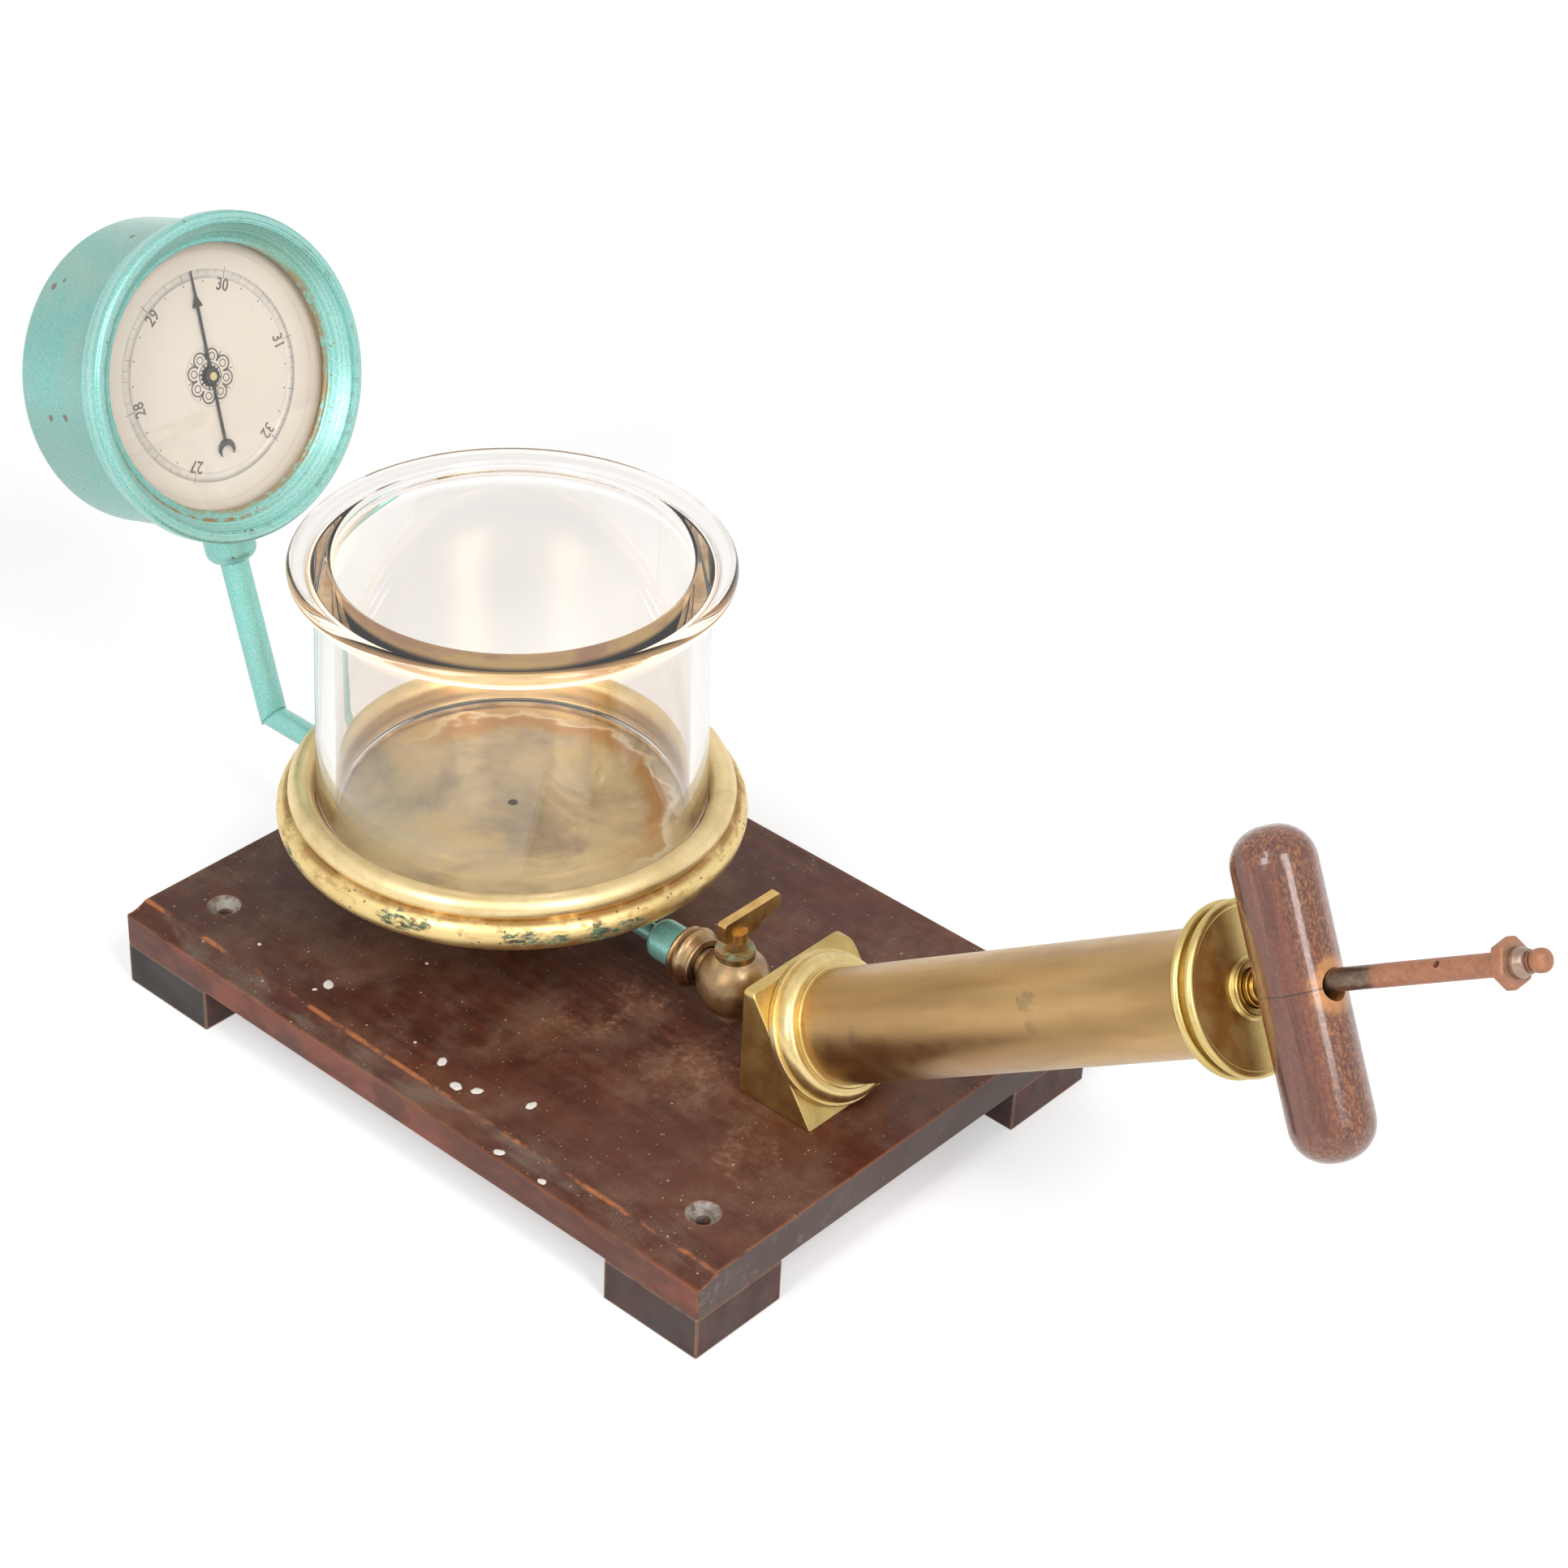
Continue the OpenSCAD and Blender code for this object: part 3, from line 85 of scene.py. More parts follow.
def srgb(red: float, green: float, blue: float) -> Colour:
    """A linear colour from screen values.

    Args:
        red, green, blue: Screen values from 0 to 255.

    Returns:
        The colour that a shader socket takes.
    """
    def linear(value: float) -> float:
        """One channel, as light."""
        share = value / 255
        return share / 12.92 if share <= 0.04045 else ((share + 0.055) / 1.055) ** 2.4
    return linear(red), linear(green), linear(blue), 1.0


# Places that the sub-assemblies share

@dataclass(frozen=True)
class Layout:
    """Axes and levels that the sub-assemblies share."""

    line_y: float = 5 * MM
    line_z: float = 50.5 * MM
    pump_line_z: float = 54 * MM
    board_top: float = 34 * MM
    plate_x: float = -54 * MM
    plate_z: float = 70 * MM
    elbow_x: float = -191.5 * MM
    gauge_tilt: float = math.radians(17.4)
    stem: float = 145 * MM
    barrel_tilt: float = math.radians(33.3)
    wedge_x: float = 88.4 * MM
    wedge_top_t: float = 4.4 * MM
    wedge_h: float = 45.5 * MM
    collar_r: float = 28.3 * MM
    seat_gap: float = 0.3 * MM
    handle_drop: float = 1.45 * MM
    handle_k: float = 223.5 * MM
    handle_turn: float = math.radians(-12)

    def plate(self) -> Matrix:
        """The plate's frame, with its origin in the plate's underside."""
        return Matrix.Translation((self.plate_x, self.line_y, self.plate_z))

    def stem_frame(self) -> Matrix:
        """The gauge stem's frame, with +Z up the stem from the elbow."""
        turn = Matrix.Rotation(-self.gauge_tilt, 4, "Y")
        return Matrix.Translation((self.elbow_x, self.line_y, self.line_z)) @ turn

    def case(self) -> Matrix:
        """The gauge case's frame, with +Z out of the dial and -X towards its top."""
        quarter = Matrix.Rotation(math.pi / 2, 4, "Y")
        return self.stem_frame() @ Matrix.Translation((0, 0, self.stem)) @ quarter

    def pump_line(self) -> Matrix:
        """The frame of the pump's pipe line, with +Z along the part's +X."""
        return Matrix.Translation((0, self.line_y, self.pump_line_z)) @ Matrix.Rotation(math.pi / 2, 4, "Y")

    def slope_x(self, z: float) -> float:
        """Where the wedge's sloping face lies along X at a height."""
        below_top = self.board_top + self.wedge_h - z
        return self.wedge_x + self.wedge_top_t + below_top * math.tan(self.barrel_tilt)

    def pump(self) -> Matrix:
        """The pump's frame, with +Z up the barrel from the wedge's sloping face.

        Returns:
            The frame.
        """
        face_z = self.board_top + self.collar_r * math.cos(self.barrel_tilt) + self.seat_gap
        turn = Matrix.Rotation(math.pi / 2 - self.barrel_tilt, 4, "Y")
        return Matrix.Translation((self.slope_x(face_z), self.line_y, face_z)) @ turn

    def handle(self) -> Matrix:
        """The handle's frame, with +X along the handle and the rod's hole along Z."""
        place = Matrix.Translation((self.handle_drop, 0, self.handle_k))
        return self.pump() @ place @ Matrix.Rotation(self.handle_turn, 4, "Z")


LAYOUT = Layout()


# Node trees

class Effect(Enum):
    """Surface effects that several finishes share, each built once as a node group."""

    BLOTCH = "Blotch"
    GRAIN = "Grain"
    EDGE = "Worn edge"
    DUST = "Dust"
    SPECKS = "Specks"
    SPOT = "Spot"
    TURNED = "Turned lines"
    HAMMER = "Hammered paint"


class Tree:
    """Short calls that add nodes to one node tree."""

    def __init__(self, tree: bpy.types.NodeTree) -> None:
        """Keep the tree that the calls add to."""
        self.tree = tree

    def add(self, kind: str, **settings: object) -> bpy.types.Node:
        """Add a node.

        Args:
            kind: The node's type name.
            settings: Properties to set on it.

        Returns:
            The new node.
        """
        node = self.tree.nodes.new(kind)
        for key, value in settings.items():
            setattr(node, key, value)
        return node

    def put(self, socket: Socket, value: Value) -> None:
        """Link a socket to another, or set its own value.

        Args:
            socket: The input.
            value: Its value, or the socket to link it to.
        """
        if isinstance(value, Socket):
            self.tree.links.new(value, socket)
        else:
            socket.default_value = value

    def math(self, operation: str, first: Value, second: Value = 0.0, clamp: bool = False) -> Socket:
        """The result of a Math node on two values or sockets.

        Args:
            operation: The node's operation.
            first, second: Its operands.
            clamp: Whether the result is held between 0 and 1.

        Returns:
            The result's socket.
        """
        node = self.add("ShaderNodeMath", operation=operation, use_clamp=clamp)
        self.put(node.inputs[0], first)
        self.put(node.inputs[1], second)
        return node.outputs[0]

    def plus(self, first: Value, second: Value, clamp: bool = False) -> Socket:
        """The sum of two values or sockets."""
        return self.math("ADD", first, second, clamp)

    def minus(self, first: Value, second: Value) -> Socket:
        """The first value or socket less the second."""
        return self.math("SUBTRACT", first, second)

    def times(self, *parts: Value) -> Socket:
        """The product of values or sockets."""
        return reduce(lambda first, second: self.math("MULTIPLY", first, second), parts)

    def most(self, *parts: Value) -> Socket:
        """The largest of values or sockets."""
        return reduce(lambda first, second: self.math("MAXIMUM", first, second), parts)

    def mix(self, share: Value, low: Value, high: Value) -> Socket:
        """A colour between two.

        Args:
            share: How much of high shows, from 0 to 1.
            low: The colour at 0.
            high: The colour at 1.

        Returns:
            The colour socket.
        """
        node = self.add("ShaderNodeMix", data_type="RGBA")
        self.put(node.inputs[0], share)
        self.put(node.inputs[6], low)
        self.put(node.inputs[7], high)
        return node.outputs[2]

    def band(self, value: Value, low: Value, high: Value, least: float = 0.0, most: float = 1.0) -> Socket:
        """A smooth step from least at low to most at high.

        Args:
            value: What is read.
            low, high: Where the step starts and ends.
            least, most: What it gives there.

        Returns:
            The result's socket.
        """
        node = self.add("ShaderNodeMapRange", interpolation_type="SMOOTHSTEP")
        for socket, part in zip(node.inputs, (value, low, high, least, most)):
            self.put(socket, part)
        return node.outputs[0]

    def noise(self, vector: Value, scale: Value, detail: float = 4.0, rough: float = 0.55,
              warp: float = 0.0) -> Socket:
        """Noise from about 0.2 to 0.8 at a vector.

        Args:
            vector: Where it is read.
            scale: How fine it is.
            detail, rough, warp: The node's Detail, Roughness and Distortion.

        Returns:
            The noise's socket.
        """
        node = self.add("ShaderNodeTexNoise")
        self.put(node.inputs["Vector"], vector)
        self.put(node.inputs["Scale"], scale)
        self.put(node.inputs["Detail"], detail)
        self.put(node.inputs["Roughness"], rough)
        self.put(node.inputs["Distortion"], warp)
        return node.outputs[0]

    def uneven(self, vector: Value, scale: float, least: float, most: float) -> Socket:
        """A value that wanders from least to most over the surface."""
        return self.band(self.noise(vector, scale), 0.3, 0.7, least, most)

    def cells(self, vector: Value, scale: Value, feature: str = "F1") -> bpy.types.Node:
        """A Voronoi node with its Distance and Color outputs.

        Args:
            vector: Where it is read.
            scale: How fine it is.
            feature: Which distance it gives.

        Returns:
            The node.
        """
        node = self.add("ShaderNodeTexVoronoi", feature=feature)
        self.put(node.inputs["Vector"], vector)
        self.put(node.inputs["Scale"], scale)
        return node

    def vector(self, operation: str, first: Value, second: Value) -> bpy.types.Node:
        """A Vector Math node on two vectors.

        Args:
            operation: The node's operation.
            first, second: Its operands.

        Returns:
            The node.
        """
        node = self.add("ShaderNodeVectorMath", operation=operation)
        self.put(node.inputs[0], first)
        self.put(node.inputs[1], second)
        return node

    def scaled(self, vector: Value, factors: Triple) -> Socket:
        """A vector with each part multiplied."""
        return self.vector("MULTIPLY", vector, factors).outputs["Vector"]

    def parts(self, vector: Value) -> bpy.types.NodeOutputs:
        """A vector's X, Y and Z sockets.

        Args:
            vector: The vector.

        Returns:
            The sockets, in order.
        """
        node = self.add("ShaderNodeSeparateXYZ")
        self.put(node.inputs[0], vector)
        return node.outputs

    def radius(self, vector: Value) -> Socket:
        """A point's distance from its frame's Z axis."""
        return self.vector("LENGTH", self.scaled(vector, (1, 1, 0)), (0, 0, 0)).outputs["Value"]

    def facing(self, axis: Triple, low: float = 0.6, high: float = 0.85) -> Socket:
        """A mask of the faces that look along an axis."""
        normal = self.add("ShaderNodeNewGeometry").outputs["Normal"]
        return self.band(self.vector("DOT_PRODUCT", normal, axis).outputs["Value"], low, high)

    def looked_at(self) -> Socket:
        """Where the camera, a reflection or a refraction looks."""
        path = self.add("ShaderNodeLightPath").outputs
        return self.most(path["Is Camera Ray"], path["Is Glossy Ray"], path["Is Transmission Ray"])

    def local(self, vector: Value, place: Matrix) -> Socket:
        """A vector as a sub-assembly's frame sees it.

        Args:
            vector: A position in the part's frame.
            place: The sub-assembly's frame.

        Returns:
            The position's socket.
        """
        node = self.add("ShaderNodeMapping", vector_type="TEXTURE")
        self.put(node.inputs["Vector"], vector)
        node.inputs["Location"].default_value = place.to_translation()
        node.inputs["Rotation"].default_value = place.to_euler()
        return node.outputs["Vector"]

    def effect(self, effect: Effect, **values: Value) -> bpy.types.NodeOutputs:
        """Place a shared effect.

        Args:
            effect: Which one.
            values: Values or sockets for its named inputs.

        Returns:
            Its outputs, by name.
        """
        group = bpy.data.node_groups.get(effect.value) or EFFECTS[effect]()
        node = self.add("ShaderNodeGroup", node_tree=group)
        for key, value in values.items():
            self.put(node.inputs[key], value)
        return node.outputs

    def blotch(self, vector: Value, scale: float, low: float, high: float) -> Socket:
        """The mask of the shared blotches."""
        return self.effect(Effect.BLOTCH, Vector=vector, Scale=scale, Low=low, High=high)["Mask"]

    def specks(self, vector: Value, scale: float, size: float, share: float) -> Socket:
        """The mask of the shared specks."""
        return self.effect(Effect.SPECKS, Vector=vector, Scale=scale, Size=size, Share=share)["Mask"]

    def spot(self, vector: Value, centre: Triple, radius: float, ragged: float) -> Socket:
        """The mask of one ragged spot, with its centre and sizes in millimetres."""
        centre, radius, ragged = tuple(part * MM for part in centre), radius * MM, ragged * MM
        return self.effect(Effect.SPOT, Vector=vector, Centre=centre, Radius=radius, Ragged=ragged)["Mask"]

    def edge(self, radius: float) -> Socket:
        """The mask of edges that have worn over a radius in millimetres."""
        return self.effect(Effect.EDGE, Radius=radius * MM)["Mask"]


class Group(Tree):
    """A node group in the making."""

    def __init__(self, effect: Effect, outputs: tuple[str, ...], **inputs: float) -> None:
        """Make the group with a Vector input, the float inputs and the float outputs.

        Args:
            effect: The effect that it makes.
            outputs: The names of its outputs.
            inputs: The values of its inputs.
        """
        super().__init__(bpy.data.node_groups.new(effect.value, "ShaderNodeTree"))
        face = self.tree.interface
        face.new_socket("Vector", in_out="INPUT", socket_type="NodeSocketVector")
        for name, value in inputs.items():
            kind = "NodeSocketVector" if name == "Centre" else "NodeSocketFloat"
            socket = face.new_socket(name, in_out="INPUT", socket_type=kind)
            if name != "Centre":
                socket.default_value = value
        for name in outputs:
            face.new_socket(name, in_out="OUTPUT", socket_type="NodeSocketFloat")
        self.given = self.add("NodeGroupInput").outputs
        self.result = self.add("NodeGroupOutput").inputs


def blotch_group() -> bpy.types.NodeTree:
    """Soft irregular patches.

    Returns:
        The group's tree.
    """
    group = Group(Effect.BLOTCH, ("Mask",), Scale=40.0, Low=0.45, High=0.6)
    given = group.given
    cloud = group.noise(given["Vector"], given["Scale"], 6.0, 0.62, 0.4)
    group.put(group.result["Mask"], group.band(cloud, given["Low"], given["High"]))
    return group.tree


def grain_group() -> bpy.types.NodeTree:
    """Streaks and pores of wood that run along X.

    Returns:
        The group's tree.
    """
    group = Group(Effect.GRAIN, ("Streak", "Pores"), Scale=240.0)
    given = group.given
    drawn = group.scaled(given["Vector"], (0.05, 1.0, 1.0))
    streak = group.noise(drawn, given["Scale"], 6.0, 0.68, 0.35)
    group.put(group.result["Streak"], group.band(streak, 0.34, 0.66))
    thin = group.scaled(given["Vector"], (0.035, 1.0, 1.0))
    fine = group.noise(thin, group.times(given["Scale"], 7.0), 2.0)
    group.put(group.result["Pores"], group.band(fine, 0.56, 0.7))
    return group.tree


def edge_group() -> bpy.types.NodeTree:
    """Edges, by how far a rounded normal leaves the true one.

    Returns:
        The group's tree.
    """
    group = Group(Effect.EDGE, ("Mask",), Radius=0.5 * MM)
    rounded = group.add("ShaderNodeBevel", samples=6)
    group.put(rounded.inputs["Radius"], group.given["Radius"])
    normal = group.add("ShaderNodeNewGeometry").outputs["Normal"]
    dot = group.vector("DOT_PRODUCT", rounded.outputs[0], normal).outputs["Value"]
    group.put(group.result["Mask"], group.band(dot, 0.99, 0.86))
    return group.tree


def dust_group() -> bpy.types.NodeTree:
    """Dust that lies on faces that look up.

    Returns:
        The group's tree.
    """
    group = Group(Effect.DUST, ("Mask",), Scale=60.0, Amount=0.5)
    given = group.given
    coarse = group.band(group.noise(given["Vector"], given["Scale"], 7.0, 0.7), 0.42, 0.68)
    fine = group.band(group.noise(given["Vector"], 2300.0, 1.0), 0.45, 0.62)
    lying = group.times(coarse, group.plus(group.times(fine, 0.7), 0.3), group.facing(UP, 0.3, 0.9))
    group.put(group.result["Mask"], group.times(lying, given["Amount"]))
    return group.tree


def specks_group() -> bpy.types.NodeTree:
    """Small round specks at a share of a cell pattern's points.

    Returns:
        The group's tree.
    """
    group = Group(Effect.SPECKS, ("Mask",), Scale=300.0, Size=0.3, Share=0.1)
    given = group.given
    cells = group.cells(given["Vector"], given["Scale"])
    chosen = group.math("LESS_THAN", group.parts(cells.outputs["Color"])[0], given["Share"])
    disc = group.band(cells.outputs["Distance"], given["Size"], group.times(given["Size"], 0.55))
    group.put(group.result["Mask"], group.times(disc, chosen))
    return group.tree


def spot_group() -> bpy.types.NodeTree:
    """One spot with a ragged rim.

    Returns:
        The group's tree.
    """
    group = Group(Effect.SPOT, ("Mask",), Centre=0.0, Radius=2 * MM, Ragged=1 * MM)
    given = group.given
    away = group.vector("DISTANCE", given["Vector"], given["Centre"]).outputs["Value"]
    cloud = group.noise(given["Vector"], group.math("DIVIDE", 1.6, given["Radius"]), 4.0, 0.6)
    push = group.times(group.minus(cloud, 0.5), given["Ragged"], 3.0)
    inner = group.times(given["Radius"], 0.6)
    group.put(group.result["Mask"], group.band(group.plus(away, push), given["Radius"], inner))
    return group.tree


def turned_group() -> bpy.types.NodeTree:
    """Fine tool lines round the Z axis of a turned piece.

    Returns:
        The group's tree.
    """
    group = Group(Effect.TURNED, ("Lines",), Scale=900.0)
    rho = group.radius(group.given["Vector"])
    along = group.parts(group.given["Vector"])[2]
    joined = group.add("ShaderNodeCombineXYZ")
    group.put(joined.inputs[0], rho)
    group.put(joined.inputs[1], along)
    group.put(group.result["Lines"], group.noise(joined.outputs[0], group.given["Scale"], 3.0, 0.6))
    return group.tree


def hammer_group() -> bpy.types.NodeTree:
    """Sparkle and slight dimples of metallic paint.

    Returns:
        The group's tree.
    """
    group = Group(Effect.HAMMER, ("Height", "Sparkle"), Scale=420.0)
    given = group.given
    cells = group.cells(given["Vector"], given["Scale"], "SMOOTH_F1")
    dimples = group.times(group.noise(given["Vector"], 900.0), 0.35)
    group.put(group.result["Height"], group.plus(cells.outputs["Distance"], dimples))
    fine = group.noise(given["Vector"], group.times(given["Scale"], 3.2), 2.0, 0.7)
    group.put(group.result["Sparkle"], group.band(fine, 0.42, 0.66))
    return group.tree


EFFECTS = {
    Effect.BLOTCH: blotch_group,
    Effect.GRAIN: grain_group,
    Effect.EDGE: edge_group,
    Effect.DUST: dust_group,
    Effect.SPECKS: specks_group,
    Effect.SPOT: spot_group,
    Effect.TURNED: turned_group,
    Effect.HAMMER: hammer_group,
}


class MaterialTree(Tree):
    """A material's tree with one Principled shader."""

    def __init__(self, name: str) -> None:
        """Make the material and its shader.

        Args:
            name: The material's name.
        """
        self.material = bpy.data.materials.new(name)
        self.material.use_nodes = True
        super().__init__(self.material.node_tree)
        self.tree.nodes.clear()
        self.output = self.add("ShaderNodeOutputMaterial")
        self.shader = self.add("ShaderNodeBsdfPrincipled")
        self.tree.links.new(self.shader.outputs[0], self.output.inputs["Surface"])
        self.at = self.add("ShaderNodeTexCoord").outputs["Object"]

    def shade(self, **values: Value) -> None:
        """Set or link the shader's inputs, with an underscore for a space in a name."""
        for key, value in values.items():
            self.put(self.shader.inputs[key.replace("_", " ")], value)

    def bump(self, height: Socket, distance: float, strength: float) -> Socket:
        """A normal from a height.

        Args:
            height: The height socket, where 1 is the full distance.
            distance: The full distance in millimetres.
            strength: The Bump node's strength.

        Returns:
            The normal socket.
        """
        node = self.add("ShaderNodeBump")
        node.inputs["Strength"].default_value = strength
        node.inputs["Distance"].default_value = distance * MM
        self.put(node.inputs["Height"], height)
        return node.outputs["Normal"]


# Finishes

@dataclass(frozen=True)
class Finish:
    """A surface finish and the record's slot that it belongs to."""

    name: str
    slot: str

    def material(self) -> bpy.types.Material:
        """The finish's material, made on first use.

        Returns:
            The material.
        """
        known = bpy.data.materials.get(self.name)
        if known is None:
            tree = MaterialTree(self.name)
            self.dress(tree)
            known = tree.material
        return known

    def dress(self, tree: MaterialTree) -> None:
        """Add the finish's nodes to a new material."""
        raise NotImplementedError


@dataclass(frozen=True)
class BoardWood(Finish):
    """Dark red-brown mahogany with dust, worn edges and a dusty cove."""

    dark: Colour = srgb(62, 30, 21)
    red: Colour = srgb(104, 54, 37)
    brown: Colour = srgb(122, 80, 57)
    dust: Colour = srgb(152, 126, 106)
    front: Colour = srgb(138, 74, 54)
    end: Colour = srgb(84, 70, 64)
    cove: Colour = srgb(118, 100, 88)
    worn: Colour = srgb(190, 116, 70)
    blotch: Colour = srgb(84, 40, 28)
    shadow: Colour = srgb(66, 34, 26)
    smear: Colour = srgb(170, 126, 98)
    specks: Colour = srgb(205, 186, 164)
    scuff: Colour = srgb(166, 154, 146)
    plug: Colour = srgb(172, 164, 152)
    grit: Colour = srgb(112, 102, 92)
    smears: tuple[tuple[Triple, float, float, float], ...] = (
        ((70, -24, 34), 26, 26, 1.0), ((32, -8, 34), 16, 18, 1.0),
        ((112, -46, 34), 14, 14, 0.8), ((20, -36, 34), 18, 20, 0.7),
    )
    cove_y: float = -97.2 * MM
    bench: tuple[float, float] = (125 * MM, 79 * MM)
    sink_r: float = 6.7 * MM

    def dress(self, tree: MaterialTree) -> None:
        """Streaks, blotches, dust, a painted shadow under the plate, the pale smear by the wedge, the cove and
        the countersinks.

        Args:
            tree: The new material's tree.
        """
        at = tree.at
        grain = tree.effect(Effect.GRAIN, Vector=at, Scale=230.0)
        streak = tree.plus(tree.times(grain["Streak"], 0.6), 0.2)
        colour = tree.mix(streak, self.dark, self.red)
        colour = tree.mix(tree.times(tree.blotch(at, 26.0, 0.46, 0.68), 0.65), colour, self.brown)
        colour = tree.mix(tree.times(tree.blotch(at, 9.0, 0.5, 0.62), 0.5), colour, self.blotch)
        x, y, z = tree.parts(at)
        # Painted shadow: the top face darkens under the plate.
        shade = tree.times(tree.band(x, 10 * MM, -130 * MM), tree.facing(UP), 0.5)
        colour = tree.mix(shade, colour, self.shadow)
        front = tree.facing((0, -1, 0))
        end = tree.facing(AHEAD)
        back = tree.facing((-1, 0, 0))
        patchy = tree.times(tree.blotch(tree.scaled(at, (0.5, 1, 1)), 42.0, 0.44, 0.6), 0.75)
        patchy = tree.plus(patchy, 0.1)
        colour = tree.mix(tree.times(front, patchy), colour, self.front)
        colour = tree.mix(tree.times(tree.most(end, back), 0.82), colour, self.end)
        smear = tree.most(*(tree.times(tree.spot(at, centre, radius, ragged), share)
                            for centre, radius, ragged, share in self.smears))
        fine = tree.plus(tree.times(tree.blotch(at, 420.0, 0.42, 0.6), 0.7), 0.3)
        smear = tree.times(smear, tree.blotch(at, 60.0, 0.34, 0.7), fine, 0.7)
        colour = tree.mix(smear, colour, self.smear)
        dust = tree.effect(Effect.DUST, Vector=at, Scale=46.0, Amount=0.42)["Mask"]
        colour = tree.mix(dust, colour, self.dust)
        edge = self.cove_y
        in_cove = tree.times(tree.band(y, edge - 0.2 * MM, edge - 1.0 * MM), tree.facing(UP, 0.3, 0.6))
        cove_dust = tree.times(tree.blotch(tree.scaled(at, (0.35, 1, 1)), 60.0, 0.48, 0.66), 0.8)
        cove_dust = tree.plus(cove_dust, 0.04)
        colour = tree.mix(tree.times(in_cove, cove_dust), colour, self.cove)
        pale = tree.times(tree.specks(at, 210.0, 0.12, 0.22), tree.most(tree.facing(UP), end))
        tiny = tree.times(tree.specks(at, 520.0, 0.2, 0.12), tree.facing(UP), 0.55)
        colour = tree.mix(tree.most(tree.times(pale, 0.75), tiny), colour, self.specks)
        scuff = tree.times(end, tree.blotch(at, 150.0, 0.56, 0.66), tree.band(y, -20 * MM, -50 * MM))
        colour = tree.mix(tree.times(scuff, 0.22), colour, self.scuff)
        lip = tree.times(tree.band(y, edge + 1.0 * MM, edge), tree.band(y, edge - 1.6 * MM, edge - 0.7 * MM))
        broken = tree.blotch(tree.scaled(at, (0.5, 1, 1)), 130.0, 0.42, 0.56)
        lip = tree.times(lip, tree.band(z, 30 * MM, 33 * MM), broken, 0.9)
        worn = tree.times(tree.most(tree.edge(1.6), lip), tree.blotch(at, 120.0, 0.3, 0.5))
        colour = tree.mix(tree.times(worn, 0.9), colour, self.worn)
        flat = tree.add("ShaderNodeCombineXYZ")
        tree.put(flat.inputs[0], tree.minus(tree.math("ABSOLUTE", x), self.bench[0]))
        tree.put(flat.inputs[1], tree.minus(tree.math("ABSOLUTE", y), self.bench[1]))
        hole = tree.band(tree.radius(flat.outputs[0]), self.sink_r, self.sink_r - 0.9 * MM)
        hole = tree.times(hole, tree.band(z, 26 * MM, 31.5 * MM))
        grit = tree.mix(tree.blotch(at, 300.0, 0.4, 0.62), self.plug, self.grit)
        colour = tree.mix(tree.times(hole, 0.92), colour, grit)
        matt = tree.times(tree.most(dust, smear, tree.times(in_cove, 0.9)), 0.4)
        rough = tree.plus(matt, tree.uneven(at, 55.0, 0.36, 0.52), clamp=True)
        height = tree.minus(tree.times(grain["Streak"], 0.35), tree.times(grain["Pores"], 0.65))
        tree.shade(Base_Color=colour, Roughness=rough, Specular_IOR_Level=0.3, Coat_Weight=0.08,
                   Coat_Roughness=0.28, Normal=tree.bump(height, 0.12, 0.55))


@dataclass(frozen=True)
class FootWood(Finish):
    """Dark stained blocks with pale worn corners."""

    dark: Colour = srgb(58, 50, 48)
    brown: Colour = srgb(98, 62, 52)
    streak: Colour = srgb(44, 34, 32)
    faded: Colour = srgb(124, 84, 68)
    worn: Colour = srgb(206, 164, 138)

    def dress(self, tree: MaterialTree) -> None:
        """Black-brown stain, browner towards the board's end, and worn corners.

        Args:
            tree: The new material's tree.
        """
        at = tree.at
        grain = tree.effect(Effect.GRAIN, Vector=at, Scale=260.0)
        side = tree.most(tree.facing(AHEAD), tree.times(tree.band(tree.parts(at)[0], 0.0, 90 * MM), 0.45))
        warm = tree.times(side, tree.plus(tree.times(tree.blotch(at, 48.0, 0.4, 0.6), 0.5), 0.5))
        colour = tree.mix(warm, self.dark, self.brown)
        colour = tree.mix(tree.times(grain["Streak"], 0.3), colour, self.streak)
        colour = tree.mix(tree.times(tree.blotch(at, 30.0, 0.55, 0.7), 0.35), colour, self.faded)
        worn = tree.times(tree.edge(1.8), tree.blotch(at, 160.0, 0.24, 0.46))
        colour = tree.mix(tree.times(worn, 0.9), colour, self.worn)
        height = tree.minus(tree.times(grain["Streak"], 0.4), tree.times(grain["Pores"], 0.6))
        tree.shade(Base_Color=colour, Roughness=tree.uneven(at, 60.0, 0.45, 0.65),
                   Specular_IOR_Level=0.35, Normal=tree.bump(height, 0.15, 0.6))


